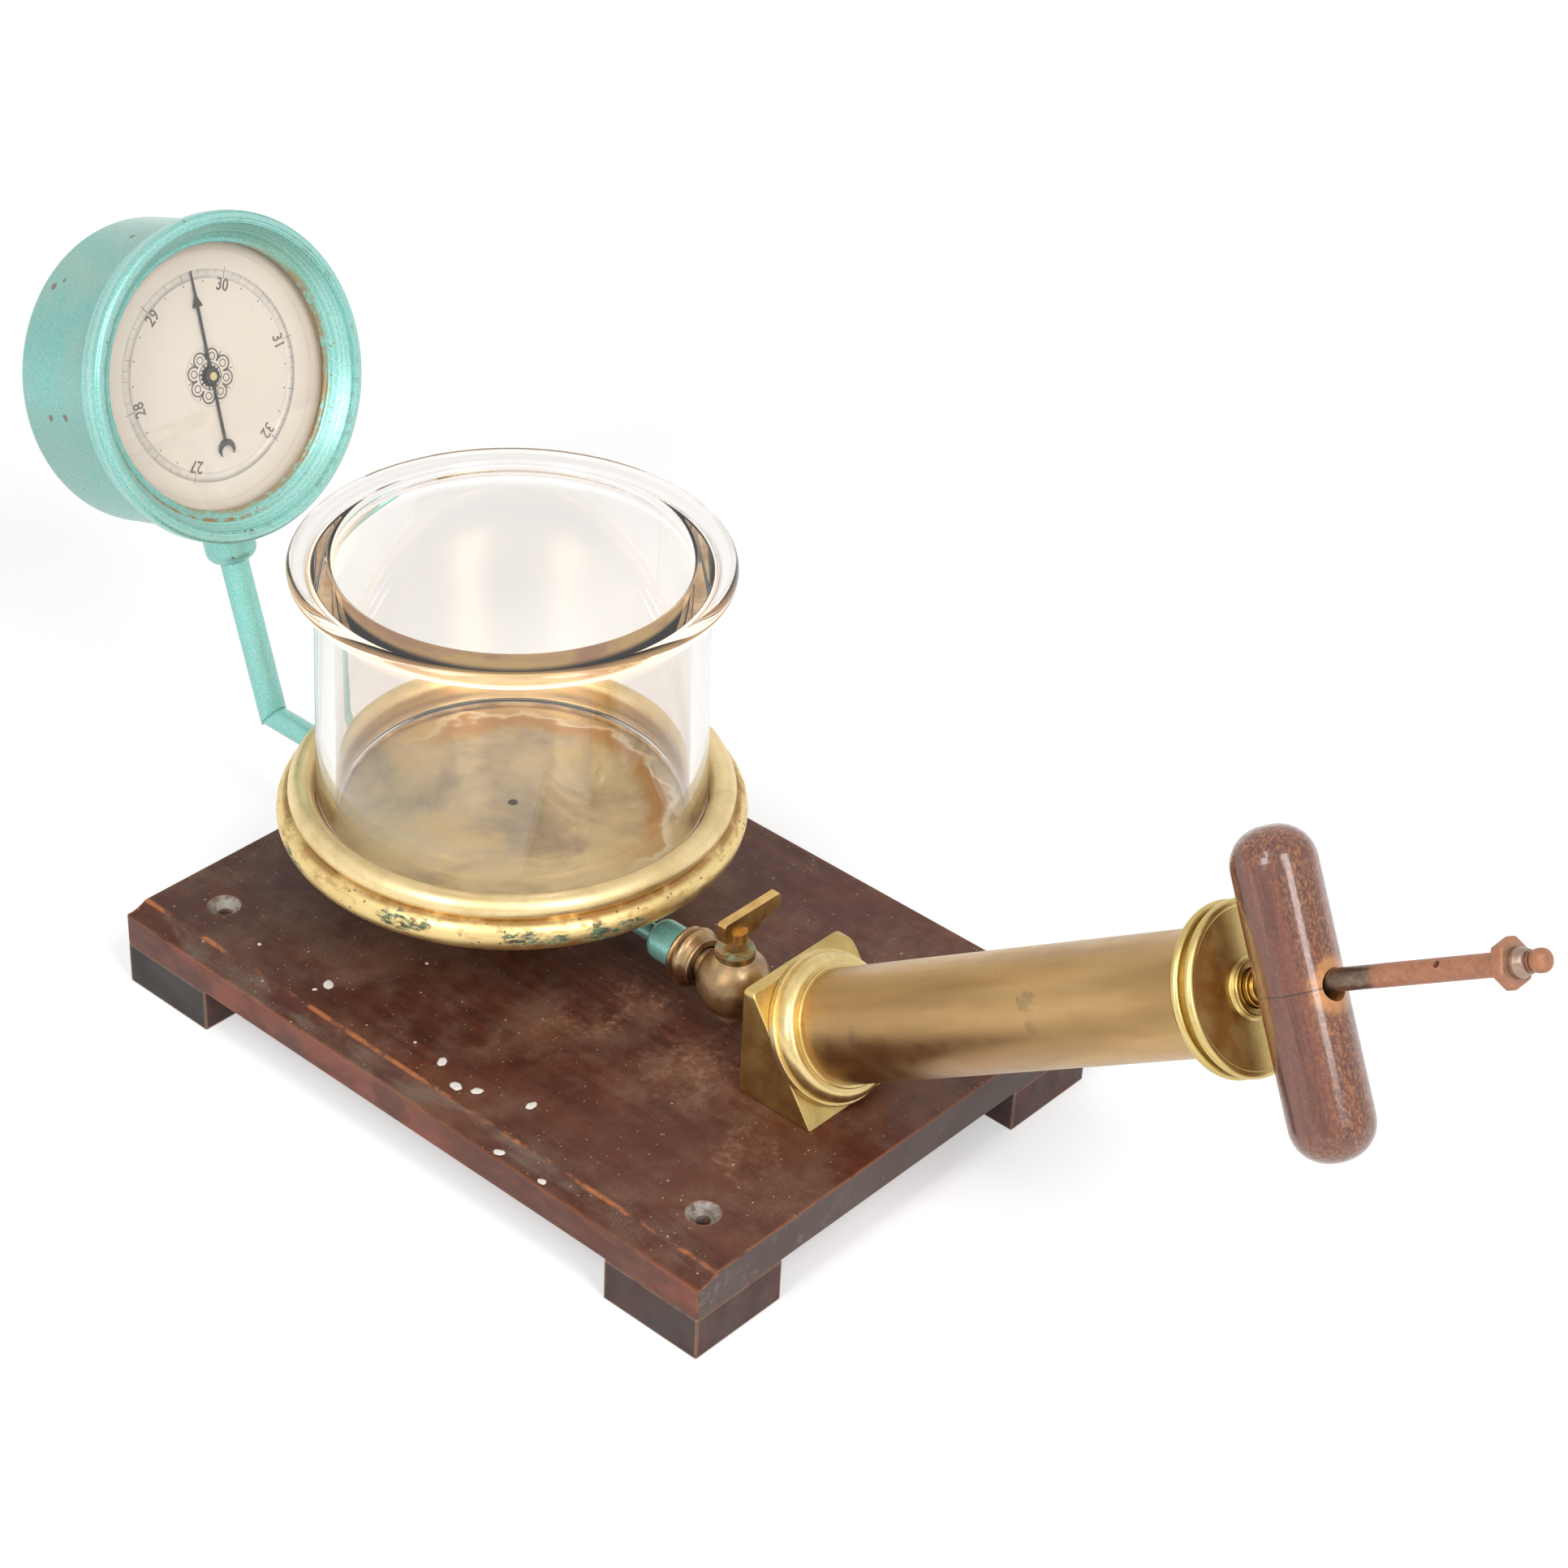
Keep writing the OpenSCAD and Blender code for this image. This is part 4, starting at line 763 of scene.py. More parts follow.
@dataclass(frozen=True)
class HandleWood(Finish):
    """Varnished turned wood, flecked with orange at its ends and worn round the hole."""

    dark: Colour = srgb(88, 48, 38)
    red: Colour = srgb(126, 72, 54)
    fleck: Colour = srgb(174, 118, 78)
    pores: Colour = srgb(74, 38, 32)
    worn: Colour = srgb(208, 144, 84)
    groove: Colour = srgb(52, 26, 22)
    under: Colour = srgb(196, 128, 74)

    def dress(self, tree: MaterialTree) -> None:
        """Streaks along the handle, flecks, the worn hole and the scribed line round the middle.

        Args:
            tree: The new material's tree.
        """
        at = tree.local(tree.at, LAYOUT.handle())
        x, y, z = tree.parts(at)
        grain = tree.effect(Effect.GRAIN, Vector=at, Scale=300.0)
        colour = tree.mix(grain["Streak"], self.dark, self.red)
        ends = tree.band(tree.math("ABSOLUTE", tree.minus(x, 2 * MM)), 40 * MM, 52 * MM)
        side = tree.band(z, 7 * MM, 13 * MM)
        fleck = tree.band(tree.noise(tree.scaled(at, (0.6, 1, 1)), 1000.0, 3.0, 0.7), 0.42, 0.68)
        where = tree.plus(tree.times(tree.most(ends, tree.times(side, 0.85)), 0.8), 0.2)
        colour = tree.mix(tree.times(fleck, where), colour, self.fleck)
        colour = tree.mix(tree.times(grain["Pores"], 0.45), colour, self.pores)
        ragged = tree.plus(tree.radius(at), tree.times(tree.noise(at, 300.0), 3.5 * MM))
        worn = tree.times(tree.band(ragged, 12.5 * MM, 8.5 * MM), tree.band(z, 5 * MM, 9 * MM),
                          tree.blotch(at, 240.0, 0.24, 0.46))
        colour = tree.mix(tree.times(worn, 0.9), colour, self.worn)
        line = tree.band(tree.math("ABSOLUTE", x), 0.42 * MM, 0.2 * MM)
        colour = tree.mix(tree.times(line, 0.75), colour, self.groove)
        under = tree.band(z, -4 * MM, -13 * MM)
        colour = tree.mix(tree.times(under, 0.5), colour, self.under)
        cut = tree.plus(tree.times(grain["Pores"], 0.5), line)
        height = tree.minus(tree.times(grain["Streak"], 0.3), cut)
        rough = tree.band(tree.noise(at, 420.0, 3.0), 0.35, 0.68, 0.3, 0.45)
        tree.shade(Base_Color=colour, Roughness=rough, Specular_IOR_Level=0.35, Coat_Weight=0.85,
                   Coat_Roughness=0.1, Normal=tree.bump(height, 0.05, 0.3))


@dataclass(frozen=True)
class TealPaint(Finish):
    """Hammered metallic teal paint with grey mottling, painted glints, a painted paler sheen on its upper
    faces, rust specks and chipped edges.
    """

    base: Colour = srgb(112, 182, 172)
    # The highlight tint that the painted glints and line streaks lean towards.
    light: Colour = srgb(172, 220, 210)
    grey: Colour = srgb(158, 176, 166)
    pale: Colour = srgb(176, 196, 178)
    rust: Colour = srgb(124, 98, 70)
    grime: Colour = srgb(168, 128, 78)
    grey_share: float = 0.35
    spots: tuple[Quad, ...] = ()
    dirt: bool = False

    def dress(self, tree: MaterialTree) -> None:
        """Painted sparkle glints, mottling, a painted paler sheen on upper faces, rust and, on the bezel,
        painted highlight streaks along the turned lines and the dirt round the glass.

        Args:
            tree: The new material's tree.
        """
        at = tree.at
        hammer = tree.effect(Effect.HAMMER, Vector=at, Scale=420.0)
        # Painted glints: the sparkle lightens the paint towards its highlight tint.
        colour = tree.mix(tree.times(hammer["Sparkle"], 0.42), self.base, self.light)
        colour = tree.mix(tree.times(tree.blotch(at, 18.0, 0.42, 0.66), self.grey_share), colour, self.grey)
        # Painted sheen: faces that look up turn paler, in patches.
        painted_sheen = tree.facing((-0.35, 0, 0.94), 0.2, 0.9)
        painted_sheen = tree.times(painted_sheen, tree.blotch(at, 30.0, 0.34, 0.6), self.grey_share)
        colour = tree.mix(painted_sheen, colour, self.pale)
        rust = tree.times(tree.specks(at, 190.0, 0.16, 0.05), 0.85)
        rust = tree.most(rust, tree.times(tree.edge(0.5), tree.blotch(at, 210.0, 0.53, 0.6)))
        for *centre, radius in self.spots:
            rust = tree.most(rust, tree.times(tree.spot(at, tuple(centre), radius, radius * 0.4), 0.8))
        height = hammer["Height"]
        if self.dirt:
            case = tree.local(at, LAYOUT.case())
            lines = tree.effect(Effect.TURNED, Vector=case, Scale=620.0)["Lines"]
            height = tree.plus(height, tree.times(lines, 2.4))
            # Painted highlight streaks along the turned lines.
            colour = tree.mix(tree.times(tree.band(lines, 0.44, 0.6), 0.35), colour, self.light)
            colour = tree.mix(self.dirty(tree, at, case), colour, self.grime)
        colour = tree.mix(rust, colour, self.rust)
        rough = tree.plus(tree.times(rust, 0.4), tree.uneven(at, 700.0, 0.3, 0.46), clamp=True)
        tree.shade(Base_Color=colour, Roughness=rough, Metallic=tree.band(rust, 0.0, 0.7, 0.45, 0.05),
                   Coat_Weight=0.3, Coat_Roughness=0.2, Normal=tree.bump(height, 0.11, 0.5))

    def dirty(self, tree: MaterialTree, at: Socket, case: Socket) -> Socket:
        """Where dirt lies round the gauge glass, thickest at the lower right.

        Args:
            tree: The material's tree.
            at: The position in the part's frame.
            case: The position in the gauge case's frame.

        Returns:
            The mask.
        """
        x, y, z = tree.parts(case)
        rho = tree.radius(case)
        lower_right = tree.band(tree.plus(tree.times(y, 0.8), tree.times(x, 0.6)), -24 * MM, 22 * MM)
        reach = tree.plus(rho, tree.times(tree.noise(at, 120.0), 5 * MM))
        rim = tree.times(tree.band(reach, 56.6 * MM, 54.2 * MM), lower_right)
        grime = tree.times(rim, tree.blotch(at, 240.0, 0.3, 0.54), 0.85)
        lower_left = tree.band(tree.minus(tree.times(x, 0.5), y), 10 * MM, 40 * MM)
        step = tree.times(tree.band(z, 24.6 * MM, 23.9 * MM), tree.band(z, 22.4 * MM, 23.2 * MM))
        chip = tree.times(step, lower_left, tree.blotch(at, 260.0, 0.42, 0.55))
        specks = tree.times(tree.specks(at, 430.0, 0.3, 0.3), tree.band(rho, 59 * MM, 53 * MM))
        return tree.most(grime, chip, tree.times(specks, lower_right, 0.8))


@dataclass(frozen=True)
class Brass(Finish):
    """Turned or filed brass with a patina."""

    bright: Colour
    dull: Colour
    rough: tuple[float, float] = (0.26, 0.42)
    patch: float = 42.0
    share: float = 0.6
    turned: str = ""
    green: float = 0.0
    draw: tuple[float, float, float] = (1.0, 1.0, 1.0)
    edge_shine: float = 0.6
    shine: Colour = srgb(246, 218, 150)
    growth: Colour = srgb(118, 156, 130)
    smudge: Colour = srgb(126, 112, 92)
    pit: Colour = srgb(78, 58, 32)
    smudges: tuple[Quad, ...] = ()

    def patina(self, tree: MaterialTree, at: Socket) -> Socket:
        """The colour before any local marks.

        Args:
            tree: The new material's tree.
            at: The position in the part's frame.

        Returns:
            The colour.
        """
        patches = tree.times(tree.blotch(tree.scaled(at, self.draw), self.patch, 0.4, 0.64), self.share)
        colour = tree.mix(patches, self.bright, self.dull)
        fine = tree.blotch(at, 520.0, 0.46, 0.66)
        return tree.mix(tree.times(fine, 0.22), colour, self.dull)

    def marks(self, tree: MaterialTree, at: Socket, colour: Socket) -> tuple:
        """Local marks.

        Args:
            tree: The material's tree.
            at: The position in the part's frame.
            colour: The colour so far.

        Returns:
            The colour, and a mask of what has lost its metal look.
        """
        lost = tree.times(tree.specks(at, 260.0, 0.12, 0.08), 0.6)
        if self.green:
            growth = tree.times(tree.blotch(at, 140.0, 0.5, 0.6), self.green)
            colour = tree.mix(growth, colour, self.growth)
            lost = tree.most(lost, growth)
        for *centre, radius in self.smudges:
            spot = tree.spot(at, tuple(centre), radius, radius * 0.7)
            spot = tree.times(spot, tree.blotch(at, 190.0, 0.3, 0.62))
            colour = tree.mix(tree.times(spot, 0.5), colour, self.smudge)
        return tree.mix(tree.times(tree.specks(at, 260.0, 0.12, 0.08), 0.7), colour, self.pit), lost

    def dress(self, tree: MaterialTree) -> None:
        """Patina, local marks, tool lines and a painted highlight along the edges.

        Args:
            tree: The new material's tree.
        """
        at = tree.at
        colour, lost = self.marks(tree, at, self.patina(tree, at))
        # Painted highlight: the edges lighten towards a bright brass tint.
        colour = tree.mix(tree.times(tree.edge(0.45), self.edge_shine), colour, self.shine)
        low, high = self.rough
        rough = tree.band(tree.noise(at, 90.0, 6.0, 0.65), 0.3, 0.7, low, high)
        rough = tree.plus(rough, tree.times(lost, 0.3))
        height = tree.noise(at, 650.0, 3.0)
        if self.turned:
            place = getattr(LAYOUT, self.turned)()
            lines = tree.effect(Effect.TURNED, Vector=tree.local(at, place), Scale=1100.0)["Lines"]
            height = tree.plus(tree.times(height, 0.4), lines)
            colour = tree.mix(tree.band(lines, 0.42, 0.62, 0.0, 0.16), colour, self.dull)
        tree.shade(Base_Color=colour, Roughness=rough, Metallic=tree.band(lost, 0.0, 0.8, 1.0, 0.25),
                   Normal=tree.bump(height, 0.03, 0.4))


@dataclass(frozen=True)
class BarrelBrass(Brass):
    """Drawn tube that has gone brown, with soft lengthwise streaks that are partly tarnish and partly painted
    reflections.
    """

    brown: Colour = srgb(168, 130, 92)

    def patina(self, tree: MaterialTree, at: Socket) -> Socket:
        """Long soft streaks up the barrel, partly tarnish and partly painted reflections.

        Args:
            tree: The new material's tree.
            at: The position in the part's frame.

        Returns:
            The colour.
        """
        along = tree.scaled(tree.local(at, LAYOUT.pump()), (1, 1, 0.16))
        # Partly painted reflections: light and dark streaks run along the barrel.
        streak = tree.band(tree.noise(along, 60.0, 3.0, 0.5), 0.36, 0.66)
        colour = tree.mix(tree.times(streak, self.share), self.bright, self.dull)
        cloud = tree.band(tree.noise(along, 22.0, 2.0), 0.42, 0.62)
        return tree.mix(tree.times(cloud, 0.4), colour, self.brown)


@dataclass(frozen=True)
class PlateBrass(Brass):
    """The pump plate's lacquered brass, stained inside the glass, with verdigris on its lower bead."""

    floor: Colour = srgb(214, 192, 150)
    floor_dark: Colour = srgb(158, 142, 118)
    floor_gold: Colour = srgb(216, 184, 118)
    shore: Colour = srgb(240, 228, 204)
    ring: Colour = srgb(188, 134, 72)
    foot: Colour = srgb(186, 128, 62)
    low_bead: Colour = srgb(232, 204, 132)
    groove: Colour = srgb(146, 100, 48)
    rusty: Colour = srgb(176, 124, 64)
    dirt: Colour = srgb(70, 62, 36)
    deep_green: Colour = srgb(36, 58, 44)
    pale_green: Colour = srgb(70, 122, 98)
    well_r: float = 73.5 * MM
    flatten: float = 2.4
    patches: tuple[tuple[float, ...], ...] = (
        (-27.7, -80, 78.8, 9.5, 4), (-20, -77, 79.2, 6.5, 3.9), (-82, -79.5, 75, 7.5, 4.5),
        (-88.5, -76, 77, 5.5, 3.3), (11.8, -54.9, 77.9, 8.0, 4.8), (28.4, -28.6, 75.8, 11.0, 6.6),
        (32.5, -19, 76.5, 7.5, 4.5), (20, -45, 76.5, 6.0, 3.6),
    )

    def marks(self, tree: MaterialTree, at: Socket, colour: Socket) -> tuple:
        """The stained floor, the dark line between the beads and the green patches.

        Args:
            tree: The new material's tree.
            at: The position in the part's frame.
            colour: The colour so far.

        Returns:
            The colour, and a mask of what has lost its metal look.
        """
        plate = tree.local(at, LAYOUT.plate())
        rho = tree.radius(plate)
        z = tree.parts(plate)[2]
        inside = tree.band(rho, self.well_r + 1.5 * MM, self.well_r)
        colour = tree.mix(inside, colour, self.stain(tree, at, plate, rho))
        foot = tree.times(inside, tree.band(rho, self.well_r - 4.5 * MM, self.well_r))
        colour = tree.mix(tree.times(foot, 0.5), colour, self.foot)
        low = tree.times(tree.band(z, 13.6 * MM, 12.2 * MM), tree.band(rho, 78 * MM, 80 * MM))
        colour = tree.mix(tree.times(low, 0.55), colour, self.low_bead)
        groove = tree.times(tree.band(z, 11.0 * MM, 12.5 * MM), tree.band(z, 14.2 * MM, 12.9 * MM),
                            tree.band(rho, 80 * MM, 82 * MM))
        groove = tree.times(groove, tree.blotch(at, 60.0, 0.3, 0.52))
        colour = tree.mix(tree.times(groove, 0.8), colour, self.groove)
        rusty = tree.blotch(tree.scaled(at, (1, 1, 2.5)), 130.0, 0.5, 0.64)
        rusty = tree.times(low, tree.band(z, 6 * MM, 9 * MM), rusty)
        colour = tree.mix(tree.times(rusty, 0.55), colour, self.rusty)
        green = self.verdigris(tree, at, rho)
        specks = tree.times(tree.specks(at, 520.0, 0.34, 0.3), tree.band(rho, 84 * MM, 86 * MM),
                            tree.blotch(at, 40.0, 0.42, 0.52), low)
        colour = tree.mix(tree.times(specks, 0.9), colour, self.dirt)
        shade = tree.mix(tree.blotch(at, 330.0, 0.45, 0.6), self.deep_green, self.pale_green)
        colour = tree.mix(green, colour, shade)
        return colour, tree.most(green, tree.times(specks, 0.8), tree.times(rusty, 0.6))

    def stain(self, tree: MaterialTree, at: Socket, plate: Socket, rho: Socket) -> Socket:
        """The floor's colour: mottled, with a brown ring and a pale shore towards the back.

        Args:
            tree: The material's tree.
            at: The position in the part's frame.
            plate: The position in the plate's frame.
            rho: The distance from the plate's axis.

        Returns:
            The colour.
        """
        stain = tree.mix(tree.blotch(at, 20.0, 0.36, 0.66), self.floor, self.floor_dark)
        stain = tree.mix(tree.times(tree.blotch(at, 34.0, 0.5, 0.72), 0.6), stain, self.floor_gold)
        wander = tree.times(tree.minus(tree.noise(plate, 42.0, 3.0), 0.5), 30 * MM)
        reach = tree.plus(rho, wander)
        back = tree.band(tree.parts(plate)[1], -12 * MM, 26 * MM)
        shore = tree.times(tree.band(reach, 57 * MM, 59.5 * MM), tree.band(reach, 62.5 * MM, 60.5 * MM), back)
        ring = tree.times(tree.band(reach, 46 * MM, 55 * MM), tree.band(reach, 60 * MM, 58 * MM), back)
        stain = tree.mix(tree.times(shore, 0.6), stain, self.shore)
        return tree.mix(tree.times(ring, 0.75), stain, self.ring)

    def verdigris(self, tree: MaterialTree, at: Socket, rho: Socket) -> Socket:
        """Where green crust grows on the lower bead, in patches that lie along it.

        Args:
            tree: The material's tree.
            at: The position in the part's frame.
            rho: The distance from the plate's axis.

        Returns:
            The mask.
        """
        flat = tree.scaled(at, (1, 1, self.flatten))
        green = tree.most(*(tree.spot(flat, (x, y, z * self.flatten), radius, ragged)
                            for x, y, z, radius, ragged in self.patches))
        return tree.times(green, tree.blotch(flat, 300.0, 0.36, 0.58), tree.band(rho, 80 * MM, 84 * MM))


@dataclass(frozen=True)
class Steel(Finish):
    """Plain steel with light scratches."""

    base: Colour = srgb(176, 174, 168)
    dull: Colour = srgb(116, 108, 98)

    def dress(self, tree: MaterialTree) -> None:
        """Satin steel with dull patches.

        Args:
            tree: The new material's tree.
        """
        at = tree.at
        colour = tree.mix(tree.times(tree.blotch(at, 300.0, 0.45, 0.65), 0.5), self.base, self.dull)
        tree.shade(Base_Color=colour, Metallic=1.0, Roughness=tree.uneven(at, 400.0, 0.25, 0.45),
                   Normal=tree.bump(tree.noise(at, 1500.0), 0.02, 0.4))


@dataclass(frozen=True)
class RustySteel(Finish):
    """A piston rod that is dark by the gland and rusty beyond it, with a bright worn groove."""

    rust: Colour = srgb(180, 122, 90)
    deep: Colour = srgb(142, 92, 66)
    light: Colour = srgb(200, 142, 112)
    dark: Colour = srgb(110, 92, 78)
    grey: Colour = srgb(132, 112, 96)
    bare: Colour = srgb(158, 138, 124)
    dark_end: float = 254.5 * MM
    neck: tuple[float, float] = (307.7 * MM, 313.2 * MM)

    def dress(self, tree: MaterialTree) -> None:
        """Rust over steel, by the distance up the barrel.

        Args:
            tree: The new material's tree.
        """
        at = tree.at
        k = tree.parts(tree.local(at, LAYOUT.pump()))[2]
        colour = tree.mix(tree.times(tree.blotch(at, 340.0, 0.4, 0.64), 0.5), self.rust, self.deep)
        colour = tree.mix(tree.times(tree.blotch(at, 900.0, 0.5, 0.68), 0.4), colour, self.light)
        ragged = tree.plus(k, tree.times(tree.noise(at, 200.0), 5 * MM))
        wiped = tree.band(ragged, self.dark_end + 5 * MM, self.dark_end)
        steel = tree.mix(tree.blotch(at, 420.0, 0.4, 0.65), self.dark, self.grey)
        colour = tree.mix(wiped, colour, steel)
        start, end = self.neck
        neck = tree.times(tree.band(k, start - 0.1 * MM, start + 0.1 * MM),
                          tree.band(k, end + 0.6 * MM, end - 0.6 * MM))
        colour = tree.mix(tree.times(neck, 0.85), colour, self.bare)
        bare = tree.most(wiped, neck)
        height = tree.plus(tree.noise(at, 900.0, 5.0, 0.7), tree.blotch(at, 500.0, 0.45, 0.6))
        tree.shade(Base_Color=colour, Metallic=tree.band(bare, 0.0, 1.0, 0.12, 0.9),
                   Roughness=tree.band(bare, 0.0, 1.0, 0.5, 0.3), Normal=tree.bump(height, 0.06, 0.4))


@dataclass(frozen=True)
class ClearGlass(Finish):
    """Thick clear glass, a little grey and a little wavy."""

    tint: Colour = srgb(246, 242, 238)
    wave: float = 0.5
    ior: float = 1.47
    warm: bool = False
    # Colours of the painted glow that stands in for brass seen in the glass.
    dark: Colour = srgb(0, 0, 0)
    flange: Colour = srgb(150, 128, 110)
    gold: Colour = srgb(214, 176, 118)
    tan: Colour = srgb(184, 140, 108)
    near_side: Triple = (0.65, -0.76, 0)

    def dress(self, tree: MaterialTree) -> None:
        """Clear glass whose faces aren't quite true, with a painted glow in the mouth and on the flange's edge
        that stands in for warm brass seen in the glass.

        Args:
            tree: The new material's tree.
        """
        at = tree.at
        # Painted reflection: emission in the mouth and along the flange's edge shows the warm brass seen in
        # the thick glass.
        glow = self.dark
        if self.warm:
            plate = tree.local(at, LAYOUT.plate())
            rho = tree.radius(plate)
            z = tree.parts(at)[2]
            side = tree.vector("DOT_PRODUCT", plate, self.near_side).outputs["Value"]
            mouth = tree.times(tree.band(z, 166 * MM, 172 * MM), tree.band(z, 184.8 * MM, 183.4 * MM),
                               tree.band(rho, 67.2 * MM, 66.2 * MM), tree.band(side, -34 * MM, 12 * MM))
            edge = tree.times(tree.band(rho, 78.5 * MM, 81 * MM), 0.22)
            tan = tree.mix(tree.blotch(at, 30.0, 0.4, 0.62), self.gold, self.tan)
            glow = tree.mix(edge, glow, self.flange)
            glow = tree.mix(mouth, glow, tan)
        wave = tree.noise(tree.scaled(at, (1, 1, 0.45)), 26.0, 1.0, 0.4)
        tree.shade(Base_Color=self.tint, Roughness=0.0, IOR=self.ior, Transmission_Weight=1.0,
                   Emission_Color=glow, Emission_Strength=0.75, Normal=tree.bump(wave, self.wave, 0.3))


@dataclass(frozen=True)
class DialPaper(Finish):
    """A cream dial, a little darker and yellower towards its rim."""

    base: Colour = srgb(204, 195, 183)
    mottle: Colour = srgb(203, 192, 176)
    aged: Colour = srgb(196, 182, 164)
    foxing: Colour = srgb(160, 136, 108)

    def dress(self, tree: MaterialTree) -> None:
        """Cream, darker and yellower towards the rim, with faint foxing.

        Args:
            tree: The new material's tree.
        """
        at = tree.at
        case = tree.local(at, LAYOUT.case())
        rho = tree.radius(case)
        colour = tree.mix(tree.times(tree.blotch(at, 34.0, 0.42, 0.66), 0.3), self.base, self.mottle)
        colour = tree.mix(tree.times(tree.band(rho, 42 * MM, 52 * MM), 0.6), colour, self.aged)
        colour = tree.mix(tree.times(tree.specks(at, 300.0, 0.14, 0.1), 0.5), colour, self.foxing)
        tree.shade(Base_Color=colour, Roughness=tree.uneven(at, 300.0, 0.42, 0.58),
                   Normal=tree.bump(tree.noise(at, 1200.0), 0.02, 0.3))


@dataclass(frozen=True)
class Ink(Finish):
    """Printed or painted lines that have faded unevenly."""

    strong: Colour = srgb(72, 65, 61)
    faint: Colour = srgb(112, 102, 94)
    rough: float = 0.5

    def dress(self, tree: MaterialTree) -> None:
        """A faded line colour.

        Args:
            tree: The new material's tree.
        """
        at = tree.at
        colour = tree.mix(tree.blotch(at, 160.0, 0.38, 0.62), self.strong, self.faint)
        tree.shade(Base_Color=colour, Roughness=tree.uneven(at, 500.0, self.rough - 0.08, self.rough + 0.08))


@dataclass(frozen=True)
class Leather(Finish):
    """Oiled leather of washers and valves."""

    base: Colour = srgb(104, 74, 50)
    dark: Colour = srgb(62, 42, 28)

    def dress(self, tree: MaterialTree) -> None:
        """Grain cells and dark oil.

        Args:
            tree: The new material's tree.
        """
        at = tree.at
        cells = tree.cells(at, 900.0).outputs["Distance"]
        colour = tree.mix(tree.blotch(at, 120.0, 0.4, 0.62), self.base, self.dark)
        tree.shade(Base_Color=colour, Roughness=tree.uneven(at, 200.0, 0.55, 0.75),
                   Normal=tree.bump(cells, 0.08, 0.5))


@dataclass(frozen=True)
class Rubber(Finish):
    """Dark rubber with a bloom."""

    base: Colour = srgb(70, 66, 60)
    bloom: Colour = srgb(112, 106, 96)

    def dress(self, tree: MaterialTree) -> None:
        """Dull rubber.

        Args:
            tree: The new material's tree.
        """
        at = tree.at
        colour = tree.mix(tree.times(tree.blotch(at, 150.0, 0.4, 0.66), 0.5), self.base, self.bloom)
        tree.shade(Base_Color=colour, Roughness=tree.uneven(at, 300.0, 0.6, 0.8),
                   Normal=tree.bump(tree.noise(at, 900.0), 0.04, 0.4))


@dataclass(frozen=True)
class Verdigris(Finish):
    """Brass that has gone green."""

    metal: Colour = srgb(168, 138, 92)
    green: Colour = srgb(134, 156, 126)

    def dress(self, tree: MaterialTree) -> None:
        """Green crust over dull brass.

        Args:
            tree: The new material's tree.
        """
        at = tree.at
        crust = tree.times(tree.blotch(at, 260.0, 0.42, 0.6), 0.85)
        colour = tree.mix(crust, self.metal, self.green)
        tree.shade(Base_Color=colour, Metallic=tree.band(crust, 0.0, 1.0, 0.8, 0.1),
                   Roughness=tree.band(crust, 0.0, 1.0, 0.4, 0.75), Normal=tree.bump(crust, 0.08, 0.5))


@dataclass(frozen=True)
class PaintDrop(Finish):
    """Dried white paint."""

    clean: Colour = srgb(240, 234, 226)
    dirty: Colour = srgb(206, 190, 172)

    def dress(self, tree: MaterialTree) -> None:
        """Off-white with dirt round its foot.

        Args:
            tree: The new material's tree.
        """
        at = tree.at
        colour = tree.mix(tree.times(tree.blotch(at, 600.0, 0.45, 0.7), 0.4), self.clean, self.dirty)
        tree.shade(Base_Color=colour, Roughness=tree.uneven(at, 800.0, 0.4, 0.6))


BOARD_WOOD = BoardWood("worn_mahogany", "board_wood")
FOOT_WOOD = FootWood("stained_blocks", "foot_wood")
HANDLE_WOOD = HandleWood("varnished_handle", "handle_wood")
DRUM_PAINT = TealPaint(
    "hammered_teal_drum", "teal_paint",
    spots=((-243, -54.5, 188.3, 1.7), (-233.9, -54.4, 191.9, 1.8), (-264.6, -32.2, 228.2, 1.8),
           (-249.2, -5.8, 245.7, 1.5), (-260.8, -29.9, 231.2, 1.1), (-262.0, -31.0, 226.0, 1.2)))
BEZEL_PAINT = TealPaint(
    "hammered_teal_bezel", "teal_paint", base=srgb(118, 194, 184), light=srgb(204, 242, 234),
    grey_share=0.12, dirt=True)
# Painted light: the pipes' teal is a lighter copy of the drum's, to make up for the shade under the plate.
BRIGHTENED_PIPE_PAINT = TealPaint(
    "hammered_teal_pipe_brightened", "teal_paint", base=srgb(132, 206, 196), light=srgb(198, 238, 230), grey_share=0.15)
PLATE_BRASS = PlateBrass(
    "lacquered_plate_brass", "plate_brass", bright=srgb(238, 215, 164), dull=srgb(206, 180, 128),
    turned="plate", rough=(0.34, 0.48))
CAP_BRASS = Brass(
    "gold_cap_brass", "plate_brass", bright=srgb(214, 190, 126), dull=srgb(178, 154, 94), turned="pump",
    patch=30.0, share=0.45, smudges=((284.2, -23.7, 177.9, 0.9),))
WEDGE_BRASS = Brass(
    "olive_wedge_brass", "plate_brass", bright=srgb(206, 178, 114), dull=srgb(164, 136, 82), patch=28.0,
    edge_shine=0.8)
BARREL_BRASS = BarrelBrass(
    "brown_barrel_brass", "barrel_brass", bright=srgb(190, 156, 106), dull=srgb(150, 118, 76),
    rough=(0.3, 0.4), share=0.7,
    smudges=((204, -13.7, 133.4, 4.8), (209, -15.8, 128.5, 3.6), (135, -15.5, 81, 4.0)))
COLLAR_BRASS = Brass(
    "bright_collar_brass", "barrel_brass", bright=srgb(228, 204, 146), dull=srgb(184, 156, 98), turned="pump",
    share=0.4)
COCK_BRASS = Brass(
    "brown_cock_bronze", "dull_brass", bright=srgb(180, 148, 110), dull=srgb(128, 100, 72), rough=(0.3, 0.46),
    patch=110.0, share=0.7, green=0.12)
